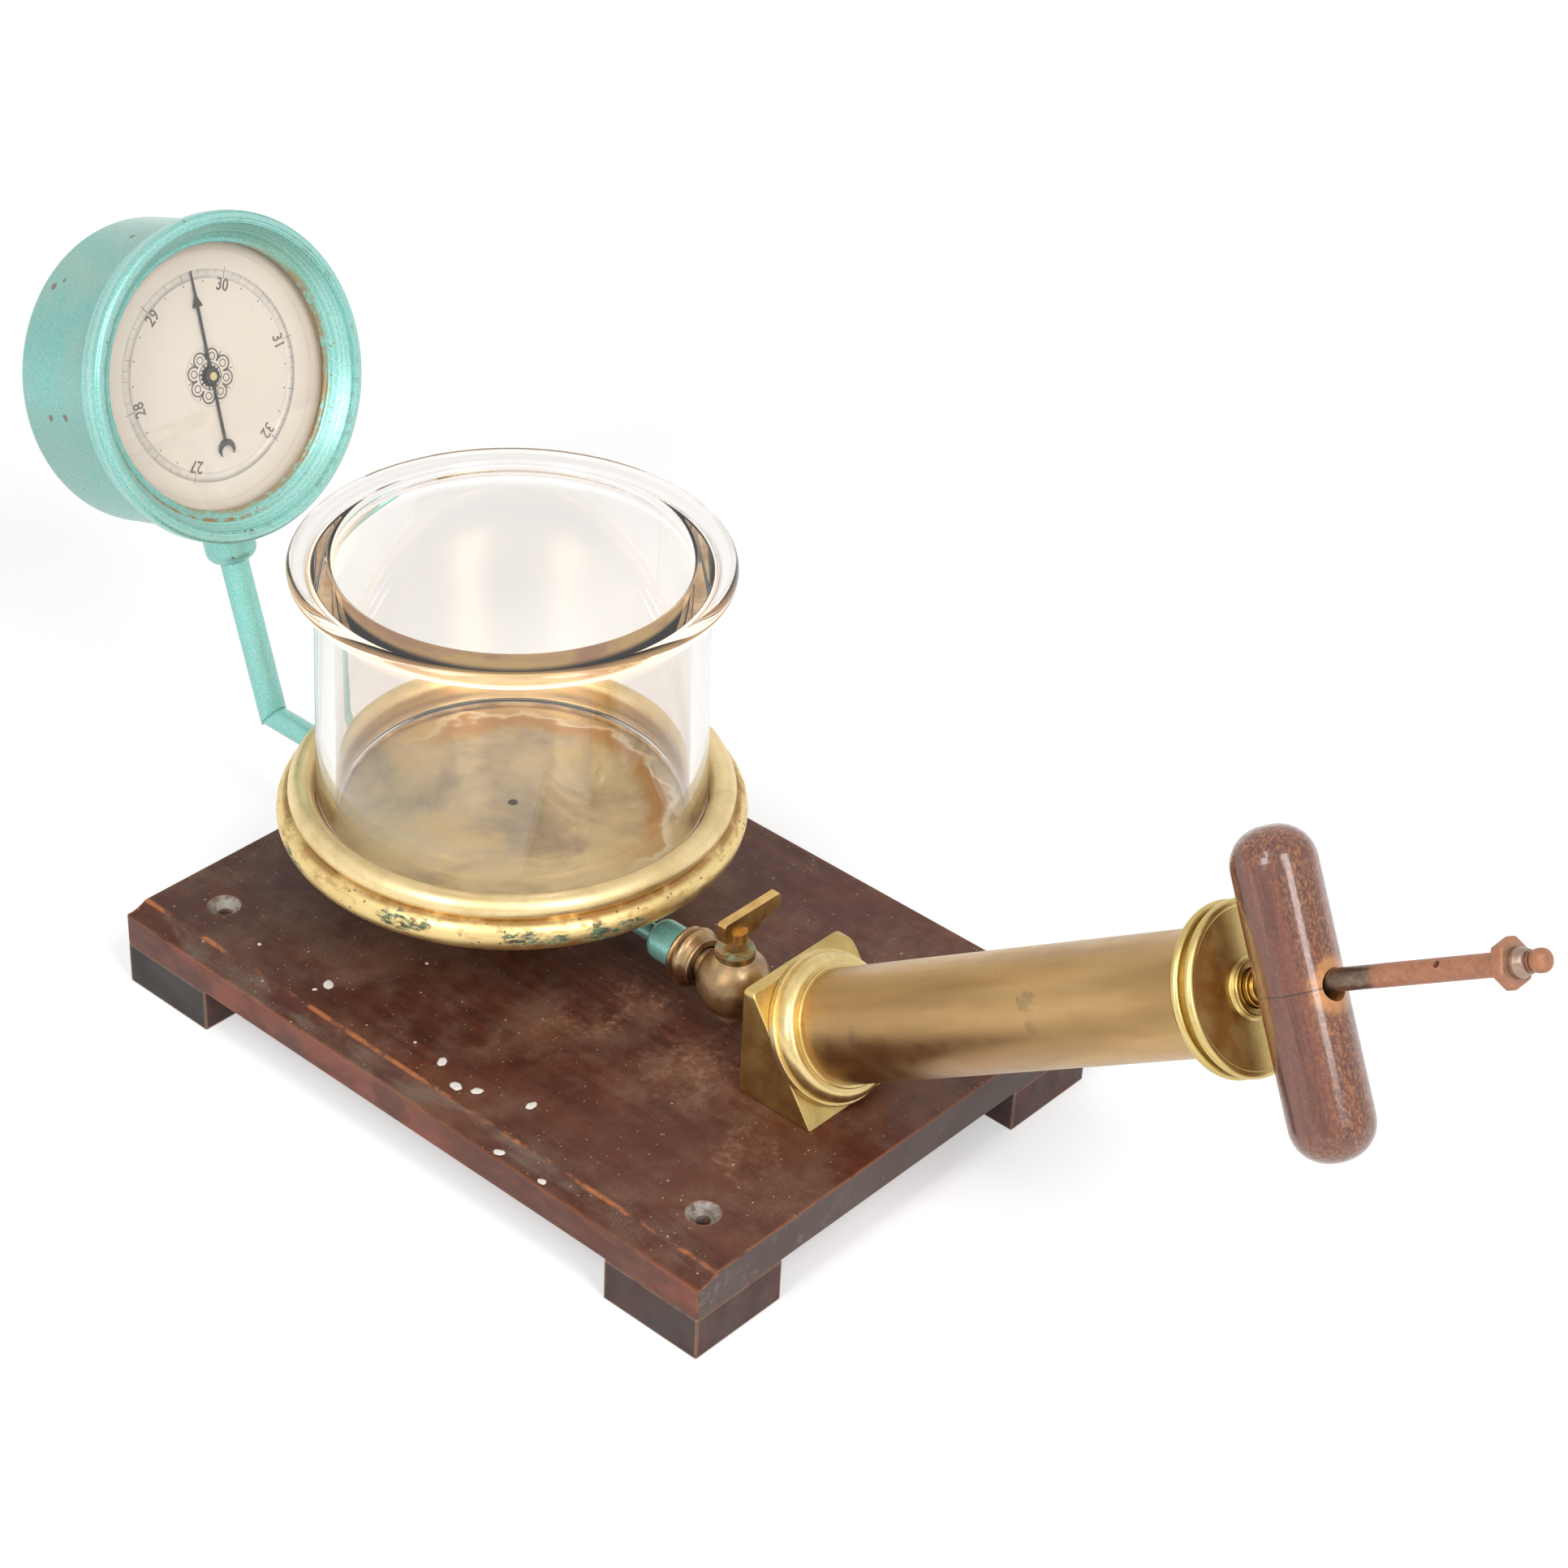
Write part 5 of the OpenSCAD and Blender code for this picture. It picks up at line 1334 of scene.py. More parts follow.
DULL_BRASS = Brass(
    "dull_fitting_brass", "dull_brass", bright=srgb(196, 158, 104), dull=srgb(138, 106, 64), patch=90.0)
GLAND_BRASS = Brass(
    "gland_brass", "dull_brass", bright=srgb(222, 182, 96), dull=srgb(164, 124, 58), turned="pump")
KEY_BRASS = Brass(
    "orange_key_brass", "key_brass", bright=srgb(222, 182, 114), dull=srgb(182, 140, 80), patch=120.0,
    edge_shine=0.5)
MOVEMENT_BRASS = Brass(
    "movement_brass", "movement_brass", bright=srgb(214, 184, 118), dull=srgb(178, 148, 88), patch=120.0,
    share=0.3)
STEEL = Steel("satin_steel", "steel")
RUSTY_STEEL = RustySteel("rusty_rod_steel", "rusty_steel")
JAR_GLASS = ClearGlass("thick_clear_glass", "clear_glass", warm=True)
DIAL_GLASS = ClearGlass("dial_clear_glass", "clear_glass", tint=srgb(252, 251, 249), wave=0.0)
DIAL_PAPER = DialPaper("cream_dial", "dial_face")
DIAL_INK = Ink("dial_ink", "dial_face")
DIAL_FAINT_INK = Ink("dial_faint_ink", "dial_face", strong=srgb(170, 162, 152), faint=srgb(186, 178, 166))
DIAL_PALE_INK = Ink("dial_pale_ink", "dial_face", strong=srgb(190, 184, 176), faint=srgb(200, 192, 182))
POINTER_PAINT = Ink(
    "pointer_black", "black_paint", strong=srgb(40, 40, 40), faint=srgb(58, 56, 52), rough=0.4)
LEATHER = Leather("oiled_leather", "leather")
PALE_LEATHER = Leather("pale_leather", "leather", base=srgb(176, 144, 90), dark=srgb(146, 114, 66))
WAXED_SEAL = Leather("waxed_seal", "rubber", base=srgb(186, 156, 116), dark=srgb(150, 118, 80))
RUBBER = Rubber("grey_rubber", "rubber")
VERDIGRIS = Verdigris("green_washer", "leather")
PAINT_DROP = PaintDrop("white_paint_drops", "board_wood")


# Shapes

def arc(cx: float, cz: float, radius: float, start: float, end: float, steps: int = 8) -> Profile:
    """Points of a circle's arc.

    Args:
        cx, cz: The centre.
        radius: The radius.
        start, end: Angles in degrees.
        steps: How many parts the arc has.

    Returns:
        The points from start to end.
    """
    turns = [math.radians(start + (end - start) * i / steps) for i in range(steps + 1)]
    return [(cx + radius * math.cos(turn), cz + radius * math.sin(turn)) for turn in turns]


def eased(corners: list[tuple[float, float, float]], steps: int = 4) -> Profile:
    """A closed outline with rounded corners.

    Args:
        corners: Each corner as x, z and rounding radius.
        steps: How many parts a rounding has.

    Returns:
        The outline's points.
    """
    points: Profile = []
    for i, (x, z, radius) in enumerate(corners):
        here = Vector((x, z))
        before = Vector(corners[i - 1][:2]) - here
        after = Vector(corners[(i + 1) % len(corners)][:2]) - here
        if radius <= 0 or before.length == 0 or after.length == 0:
            points.append((x, z))
            continue
        half = before.angle(after) / 2
        run = min(radius / math.tan(half), 0.48 * before.length, 0.48 * after.length)
        first, last = here + before.normalized() * run, here + after.normalized() * run
        for step in range(steps + 1):
            share = step / steps
            point = first * (1 - share) ** 2 + here * 2 * share * (1 - share) + last * share ** 2
            points.append((point.x, point.y))
    return points


def finished(work: bmesh.types.BMesh, name: str, crease: float = 34.0,
             weighted: bool = True) -> bpy.types.Object:
    """Turn a bmesh into a smooth-shaded object.

    Args:
        work: The bmesh, which is freed.
        name: The piece's name.
        crease: Edges sharper than this many degrees stay sharp.
        weighted: Whether large faces keep their own normals.

    Returns:
        The object, at the origin.
    """
    for face in work.faces:
        face.smooth = True
        face.material_index = 0
    limit = math.radians(crease)
    for edge in work.edges:
        edge.smooth = not (len(edge.link_faces) == 2 and edge.calc_face_angle(0.0) > limit)
    mesh = bpy.data.meshes.new(name)
    work.to_mesh(mesh)
    work.free()
    piece = bpy.data.objects.new(name, mesh)
    bpy.context.scene.collection.objects.link(piece)
    if weighted:
        modifier = piece.modifiers.new("weighted", "WEIGHTED_NORMAL")
        modifier.keep_sharp = True
    return piece


def turned(name: str, profile: Profile, place: Matrix, steps: int = 128,
           crease: float = 34.0) -> bpy.types.Object:
    """A turned piece.

    Args:
        name: The piece's name.
        profile: A closed outline's points in millimetres, as distance from the axis and height.
        place: The frame whose Z axis it is turned about.
        steps: Steps of the full turn.
        crease: Edges sharper than this many degrees stay sharp.

    Returns:
        The piece.
    """
    work = bmesh.new()
    points = [work.verts.new((x * MM, 0.0, z * MM)) for x, z in profile]
    for first, second in zip(points, points[1:] + points[:1]):
        work.edges.new((first, second))
    bmesh.ops.spin(work, geom=work.verts[:] + work.edges[:], cent=(0, 0, 0), axis=(0, 0, 1), dvec=(0, 0, 0),
                   angle=2 * math.pi, steps=steps, use_merge=True, use_duplicate=False)
    bmesh.ops.remove_doubles(work, verts=work.verts[:], dist=SPIN_WELD)
    bmesh.ops.recalc_face_normals(work, faces=work.faces[:])
    work.transform(place)
    return finished(work, name, crease)


def ease(work: bmesh.types.BMesh, rounding: float, angle: float, least: float = 0.0) -> None:
    """Round the sharp edges of a bmesh.

    Args:
        work: The bmesh.
        rounding: How far in from an edge the rounding starts, in millimetres.
        angle: Edges blunter than this many degrees are left.
        least: Edges shorter than this many millimetres stay sharp.
    """
    sharp = [edge for edge in work.edges if len(edge.link_faces) == 2
             and edge.calc_face_angle(0.0) > math.radians(angle) and edge.calc_length() > least * MM]
    if sharp:
        bmesh.ops.bevel(work, geom=sharp, offset=rounding * MM, offset_type="OFFSET", segments=3, profile=0.5,
                        affect="EDGES", material=-1, clamp_overlap=True)


def eased_copy(node: bpy.types.Object, name: str, rounding: float, least: float = 4.0) -> bpy.types.Object:
    """A merged copy of a CAD node with its long sharp edges rounded.

    Args:
        node: The CAD node's object.
        name: The new piece's name.
        rounding: How far in from an edge the rounding starts, in millimetres.
        least: Edges shorter than this many millimetres stay sharp.

    Returns:
        The new piece.
    """
    work = bmesh.new()
    work.from_mesh(node.data)
    for layer in list(work.loops.layers.float_vector.values()):
        work.loops.layers.float_vector.remove(layer)
    bmesh.ops.remove_doubles(work, verts=work.verts[:], dist=CUT_WELD)
    bmesh.ops.dissolve_limit(work, angle_limit=math.radians(0.2), use_dissolve_boundaries=False,
                             verts=work.verts[:], edges=work.edges[:])
    ease(work, rounding, 32, least)
    bmesh.ops.triangulate(work, faces=[face for face in work.faces if len(face.verts) > 4])
    return finished(work, name)


# Sub-assemblies

@dataclass
class Assembly:
    """A sub-assembly that dresses CAD nodes and adds its own pieces."""

    nodes: dict[str, bpy.types.Object]

    def coat(self, finish: Finish, *names: str) -> None:
        """Give CAD nodes a finish.

        Args:
            finish: The finish.
            names: The nodes' names.
        """
        for name in names:
            for slot in self.nodes[name].material_slots:
                slot.material = finish.material()
        LOG.info("%s: %s", finish.name, ", ".join(names))

    def place(self, piece: bpy.types.Object, finish: Finish, body: str, *stands_for: str) -> bpy.types.Object:
        """Dress a piece and let it ride on a body.

        Args:
            piece: The new piece.
            finish: Its finish.
            body: The CAD body that it rides on.
            stands_for: CAD nodes that it replaces.

        Returns:
            The piece.
        """
        piece.data.materials.clear()
        piece.data.materials.append(finish.material())
        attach(piece, body)
        if stands_for:
            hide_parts(*stands_for)
        LOG.info("%s rides on %s as %s", piece.name, body, finish.name)
        return piece

    def build(self) -> None:
        """Build the pieces and dress the nodes."""
        raise NotImplementedError


@dataclass
class Board(Assembly):
    """The board, its feet and the paint drops on it."""

    rounding: float = 0.55
    foot_rounding: float = 0.45
    drop_height: float = 0.22
    drop_wobble: float = 0.12
    drops: tuple[tuple[float, float, float, float, float], ...] = (
        (-60.4, -84.2, 34, 2.7, 1.9), (-61.8, -89.8, 34, 1.0, 0.7), (2.1, -85.7, 34, 2.5, 1.7),
        (15.6, -91.7, 34, 2.6, 1.9), (22.9, -88.3, 34, 2.3, 1.6), (42.4, -80.3, 34, 2.4, 1.6),
        (50.7, -104.4, 31.75, 2.2, 1.5), (72.3, -104.7, 31.65, 1.8, 1.3), (-97, -85.9, 34, 0.9, 0.7),
        (-12.9, -84.8, 34, 0.7, 0.6), (-44.3, -49.6, 34, 0.8, 0.7),
    )

    def build(self) -> None:
        """The board and feet with rounded edges, their screws and the drops."""
        board = eased_copy(self.nodes["baseboard"], "board", self.rounding)
        self.place(board, BOARD_WOOD, "base", "baseboard")
        for corner in ("front_left", "front_right", "back_left", "back_right"):
            foot = eased_copy(self.nodes[f"foot_{corner}"], f"block_{corner}", self.foot_rounding)
            self.place(foot, FOOT_WOOD, "base", f"foot_{corner}")
        self.coat(STEEL, "foot_screws", "pillar_screws", "wedge_screws")
        self.place(self.paint_drops(), PAINT_DROP, "base")

    def paint_drops(self) -> bpy.types.Object:
        """Flat domed drops of dried paint.

        Returns:
            The piece.
        """
        work = bmesh.new()
        for x, y, z, long, wide in self.drops:
            place = Matrix.Translation((x * MM, y * MM, z * MM)) @ Matrix.Rotation(x, 4, "Z")
            size = Matrix.Diagonal((long * MM, wide * MM, self.drop_height * wide * MM, 1))
            bmesh.ops.create_icosphere(work, subdivisions=3, radius=1.0, matrix=place @ size)
        for vert in work.verts:
            vert.co.x += self.drop_wobble * MM * math.sin(vert.co.y * 2600)
            vert.co.y += self.drop_wobble * MM * math.sin(vert.co.x * 2100)
        return finished(work, "paint_drops", weighted=False)


@dataclass
class PumpPlate(Assembly):
    """The pump plate with its two beads, on its pillar."""

    well_r: float = 74.5
    floor_h: float = 8.0
    port_r: float = 2.0
    top_bead: Triple = (79.5, 15.2, 5.0)
    low_bead: Triple = (82.6, 6.6, 6.4)
    well_fillet: float = 0.9
    seat_r: float = 16.0
    hole_r: float = 9.1
    underside: Quad = (0.15, 2.5, 0.05, 5.1)

    def build(self) -> None:
        """The turned plate, and the pillar under it."""
        plate = turned("plate", self.outline(), LAYOUT.plate(), steps=192)
        self.place(plate, PLATE_BRASS, "base", "pump_plate")
        self.coat(DULL_BRASS, "pillar")
        self.coat(LEATHER, "pillar_washer")
        self.coat(WAXED_SEAL, "jar_seal")

    def outline(self) -> Profile:
        """The plate's section, from the air port out over the beads and back along the underside.

        Returns:
            The outline's points.
        """
        well, floor = self.well_r, self.floor_h
        top = arc(*self.top_bead, 178, -27.9, 26)
        low = arc(*self.low_bead, 78.1, -88, 26)
        inner = eased([(self.port_r, floor, 0), (well, floor, self.well_fillet),
                       (well, self.top_bead[1], 0)], 4)
        skirt, web, seat, hole = self.underside
        under = [(well, skirt), (well, web), (self.seat_r, web), (self.seat_r, seat), (self.hole_r, seat),
                 (self.hole_r, hole), (self.port_r, hole)]
        return inner[:-1] + top + low + under


@dataclass
class Receiver(Assembly):
    """The open glass receiver."""

    foot: float = 79.06
    top: float = 185.3
    outer: float = 73.9
    neck: float = 72.5
    wall: float = 7.2
    flange_r: float = 81.8
    flange_t: float = 7.0
    toe_r: float = 2.6
    toe_bevel: float = 0.6
    fillet_r: float = 4.0
    lip_r: float = 2.4
    steps: int = 6

    def build(self) -> None:
        """The glass as one turned wall with a flange, which casts no hard shadow."""
        place = Matrix.Translation((LAYOUT.plate_x, LAYOUT.line_y, 0))
        jar = turned("glass_receiver", self.section(), place, steps=256, crease=60)
        jar.visible_shadow = False
        self.place(jar, JAR_GLASS, "jar", "receiver_jar")

    def section(self) -> Profile:
        """The wall's section, from the foot up the outside, over the flange and down the inside.

        Returns:
            The outline's points.
        """
        mouth = self.neck - self.wall
        bore = self.outer - self.wall
        half = self.flange_t / 2
        ledge = self.top - self.flange_t
        inside = self.rise(bore, mouth, self.top - 4)
        outside = self.rise(self.outer, self.neck, ledge - 4.5)
        return (
            [(bore + self.toe_bevel, self.foot)]
            + arc(self.outer - self.toe_r, self.foot + self.toe_r, self.toe_r, -90, 0, 8)
            + outside[1:]
            + arc(self.neck + self.fillet_r, ledge - self.fillet_r, self.fillet_r, 180, 90, 10)
            + arc(self.flange_r - half, self.top - half, half, -90, 90, 18)
            + arc(mouth + self.lip_r, self.top - self.lip_r, self.lip_r, 90, 180, 10)
            + inside[::-1]
        )

    def rise(self, low_r: float, high_r: float, end: float) -> Profile:
        """A wall face that rises from just over the foot.

        Args:
            low_r: Its radius at the foot.
            high_r: Its radius at the end.
            end: The height where it ends.

        Returns:
            Its points.
        """
        start = self.foot + 1
        shares = [i / self.steps for i in range(self.steps + 1)]
        return [(low_r + (high_r - low_r) * share, start + (end - start) * share) for share in shares]


@dataclass
class Gauge(Assembly):
    """The gauge's pipe, case, bezel, glass and pointer."""

    opening_r: float = 51.4
    bezel_r: float = 63.7
    front: float = 30.1
    case_r: float = 59.6
    collar_r: float = 61.4
    lip_depth: float = 10.0
    rim_depth: float = 6.6
    ledges: Profile = field(default_factory=lambda: [
        (2.9, 0.0), (3.1, 0.45), (3.9, 0.5), (4.0, 0.95), (4.7, 1.05), (4.8, 1.5)])

    def build(self) -> None:
        """The turned bezel, and the finishes of the rest."""
        bezel = turned("turned_bezel", self.bezel(), LAYOUT.case(), steps=192, crease=40)
        self.place(bezel, BEZEL_PAINT, "base", "bezel")
        self.coat(DRUM_PAINT, "gauge_case")
        self.coat(BRIGHTENED_PIPE_PAINT, "gauge_pipe", "gauge_socket")
        self.coat(DIAL_GLASS, "dial_glass")
        self.nodes["dial_glass"].visible_shadow = False
        self.coat(RUBBER, "glass_gasket")
        self.coat(DULL_BRASS, "glass_spacer")
        self.coat(DIAL_PAPER, "dial_plate")
        self.coat(POINTER_PAINT, "pointer")
        self.coat(MOVEMENT_BRASS, "pointer_arbor", "movement_plate", "aneroid_capsule", "lever_bracket",
                  "movement_bridge")
        self.coat(STEEL, "movement_screws", "mainspring", "main_lever", "link_rod", "rocking_shaft",
                  "movement_chain", "hairspring")

    def bezel(self) -> Profile:
        """The bezel's section: a rounded rim, three fine steps, a smooth slope and a lip round the glass.

        Returns:
            The outline's points.
        """
        front, rim, opening = self.front, self.bezel_r, self.opening_r
        back, lip = front - self.rim_depth, front - self.lip_depth
        slope = [i / 8 for i in range(9)]
        return (
            [(self.case_r, lip), (self.case_r, back - 6), (self.collar_r, back - 6), (self.collar_r, back)]
            + arc(rim - 0.8, back + 0.8, 0.8, -90, 0, 5) + arc(rim - 1.8, front - 1.8, 1.8, 0, 90, 8)
            + [(rim - inwards, front - down) for inwards, down in self.ledges]
            + [(rim - 5.0 - 5.0 * share, front - 1.65 - 6.3 * share ** 0.85) for share in slope]
            + [(opening + 1.5, front - 8.4)] + arc(opening + 0.7, lip + 0.9, 0.7, 60, 180, 6)
            + [(opening, lip)]
        )


@dataclass
class DialPrint(Assembly):
    """The dial's ring, ticks, numbers and rosette, as thin layers of ink."""

    face: float = 14.3
    layer: float = 0.05
    first: int = 27
    last: int = 32
    first_angle: float = 207.8
    last_angle: float = 505.8
    number_r: float = 35.2
    number_h: float = 5.1
    number_bold: float = 0.12
    number_narrow: float = 0.86
    tick_out: float = 41.0
    scale_w: float = 3.5
    pale_layer: float = 0.02
    rings: tuple[tuple[float, float], ...] = ((40.88, 41.12), (37.4, 37.6), (11.4, 11.7), (48.6, 48.8))
    washer: Triple = (1.0, 4.0, 0.2)
    washer_teeth: int = 16
    petals: int = 8
    petal_r: float = 7.7

    def build(self) -> None:
        """All the print, in a strong, a faint and a pale ink, and the washer under the pointer."""
        strong, faint, pale, black = bmesh.new(), bmesh.new(), bmesh.new(), bmesh.new()
        self.band(pale, self.tick_out - self.scale_w, self.tick_out, layer=self.pale_layer)
        for inner, outer in self.rings:
            self.band(faint, inner, outer)
        self.ticks(strong, faint)
        self.numbers(strong)
        self.rosette(strong)
        inner, outer, layer = self.washer
        self.band(black, inner, outer, layer=layer)
        for i in range(self.washer_teeth):
            self.stroke(black, 360 / self.washer_teeth * i, outer - 0.1, outer + 0.6, 0.8)
        place = LAYOUT.case()
        for work, name, finish in (
            (strong, "dial_numbers", DIAL_INK), (faint, "dial_rings", DIAL_FAINT_INK),
            (pale, "dial_band", DIAL_PALE_INK), (black, "hub_washer", POINTER_PAINT),
        ):
            work.transform(place)
            self.place(finished(work, name, weighted=False), finish, "base")

    def band(self, work: bmesh.types.BMesh, inner: float, outer: float, reach: tuple[float, float] = (0, 360),
             place: Matrix = Matrix(), layer: float = 0.05) -> None:
        """Add a flat ring or a part of one.

        Args:
            work: The bmesh to add to.
            inner, outer: Its radii in millimetres.
            reach: Where it starts and ends, in degrees from the frame's +X.
            place: The frame of its middle, on the dial.
            layer: Its thickness in millimetres.
        """
        start, end = (math.radians(part) for part in reach)
        steps = max(12, round(160 * (end - start) / (2 * math.pi)))
        low = Matrix.Translation((0, 0, self.face * MM)) @ place
        rows = []
        for i in range(steps + 1):
            turn = start + (end - start) * i / steps
            way = Vector((math.cos(turn), math.sin(turn), 0))
            rows.append([work.verts.new(low @ (way * radius * MM + Vector((0, 0, rise * MM))))
                         for radius, rise in ((inner, 0), (outer, 0), (outer, layer), (inner, layer))])
        for first, second in zip(rows, rows[1:]):
            for i in range(4):
                j = (i + 1) % 4
                work.faces.new((first[i], second[i], second[j], first[j]))
        if end - start < 6.2:
            work.faces.new(rows[0])
            work.faces.new(rows[-1][::-1])

    def spoke(self, angle: float, radius: float) -> Matrix:
        """A frame on the dial with +Y outwards, at degrees clockwise from the top.

        Args:
            angle: Degrees clockwise from the dial's top.
            radius: How far out its origin is, in millimetres.

        Returns:
            The frame.
        """
        turn = math.radians(angle)
        across = Vector((math.sin(turn), math.cos(turn), 0))
        out = Vector((-math.cos(turn), math.sin(turn), 0))
        frame = Matrix((across, out, Vector((0, 0, 1)))).transposed().to_4x4()
        return Matrix.Translation(out * radius * MM) @ frame

    def on_face(self, place: Matrix) -> Matrix:
        """A frame lifted so that a layer's middle lies at its origin."""
        return Matrix.Translation((0, 0, (self.face + self.layer / 2) * MM)) @ place

    def stroke(self, work: bmesh.types.BMesh, angle: float, inner: float, outer: float, width: float) -> None:
        """Add a radial line between two radii.

        Args:
            work: The bmesh to add to.
            angle: Degrees clockwise from the dial's top.
            inner, outer: Its radii in millimetres.
            width: Its width in millimetres.
        """
        place = self.on_face(self.spoke(angle, (inner + outer) / 2))
        size = Matrix.Diagonal((width * MM, (outer - inner) * MM, self.layer * MM, 1))
        bmesh.ops.create_cube(work, size=1.0, matrix=place @ size)

    def ticks(self, strong: bmesh.types.BMesh, faint: bmesh.types.BMesh) -> None:
        """Ticks at each tenth and twentieth of an inch, and dots beside the numbers.

        Args:
            strong, faint: The bmeshes to add to.
        """
        parts = (self.last - self.first) * 20
        for i in range(parts + 1):
            angle = self.first_angle + (self.last_angle - self.first_angle) * i / parts
            if i % 20 == 0:
                self.stroke(strong, angle, self.tick_out - 3.3, self.tick_out + 1.2, 0.26)
            elif i % 10 == 0:
                self.stroke(strong, angle, self.tick_out - 2.9, self.tick_out, 0.2)
            elif i % 2 == 0:
                self.stroke(strong, angle, self.tick_out - 2.1, self.tick_out, 0.14)
            else:
                self.stroke(faint, angle, self.tick_out - 1.3, self.tick_out, 0.12)
            if i % 20 in (5, 10, 15):
                self.stroke(strong, angle, self.number_r + 0.9, self.number_r + 1.5, 0.6)

    def numbers(self, work: bmesh.types.BMesh) -> None:
        """The inches, each upright to the dial's middle.

        Args:
            work: The bmesh to add to.
        """
        for number in range(self.first, self.last + 1):
            share = (number - self.first) / (self.last - self.first)
            angle = self.first_angle + (self.last_angle - self.first_angle) * share
            text = bpy.data.curves.new("number", "FONT")
            text.body = str(number)
            text.size = self.number_h * 1.35 * MM
            text.align_x, text.align_y = "CENTER", "CENTER"
            text.extrude = self.layer * MM / 2
            text.offset = self.number_bold * MM
            text.resolution_u = 3
            holder = bpy.data.objects.new("number", text)
            bpy.context.scene.collection.objects.link(holder)
            graph = bpy.context.evaluated_depsgraph_get()
            mesh = bpy.data.meshes.new_from_object(holder.evaluated_get(graph))
            narrow = Matrix.Diagonal((self.number_narrow, 1, 1, 1))
            mesh.transform(self.on_face(self.spoke(angle, self.number_r)) @ narrow)
            work.from_mesh(mesh)
            bpy.data.objects.remove(holder)
            bpy.data.curves.remove(text)
            bpy.data.meshes.remove(mesh)

    def rosette(self, work: bmesh.types.BMesh) -> None:
        """A plain ornament of petals round the arbor.

        Args:
            work: The bmesh to add to.
        """
        pitch = 360 / self.petals
        for i in range(self.petals):
            petal = self.spoke(pitch * (i + 0.5), self.petal_r)
            self.band(work, 2.5, 3.2, (-35, 215), petal)
            self.band(work, 1.15, 1.6, (0, 360), petal)
            self.stroke(work, pitch * i, 8.0, 10.8, 0.4)
            self.stroke(work, pitch * (i + 0.5), 4.6, 5.6, 0.6)
        self.band(work, 5.0, 5.4)


@dataclass
class Stopcock(Assembly):
    """The pipe under the plate, the double collar, the stopcock and its key."""

    bore_r: float = 7.2
    start: float = 36.0
    end: float = 46.5
    first_ring: Triple = (9.7, 36.95, 0.95)
    bulge: Triple = (8.9, 41.0, 2.9)
    last_ring: Triple = (9.0, 45.4, 0.85)
    key_rounding: float = 0.4

    def build(self) -> None:
        """Finishes of the fittings, and a key with rounded edges."""
        self.coat(BRIGHTENED_PIPE_PAINT, "pump_pipe", "pipe_nipple")
        self.coat(COCK_BRASS, "stopcock_body", "stopcock_plug", "key_nut")
        collar = turned("union_rings", self.rings(), LAYOUT.pump_line(), crease=50)
        self.place(collar, COCK_BRASS, "base", "union_collar")
        self.coat(VERDIGRIS, "key_washer")
        key = eased_copy(self.nodes["key_lever"], "cock_key", self.key_rounding, 2.0)
        self.place(key, KEY_BRASS, "key", "key_lever")

    def rings(self) -> Profile:
        """The union collar's section: a broad bulge between two thin rings.

        Returns:
            The outline's points.
        """
        return (
            [(self.bore_r, self.start)] + arc(*self.first_ring, -90, 78, 8) + arc(*self.bulge, -60, 60, 14)
            + arc(*self.last_ring, -70, 90, 8) + [(self.bore_r, self.end)]
        )


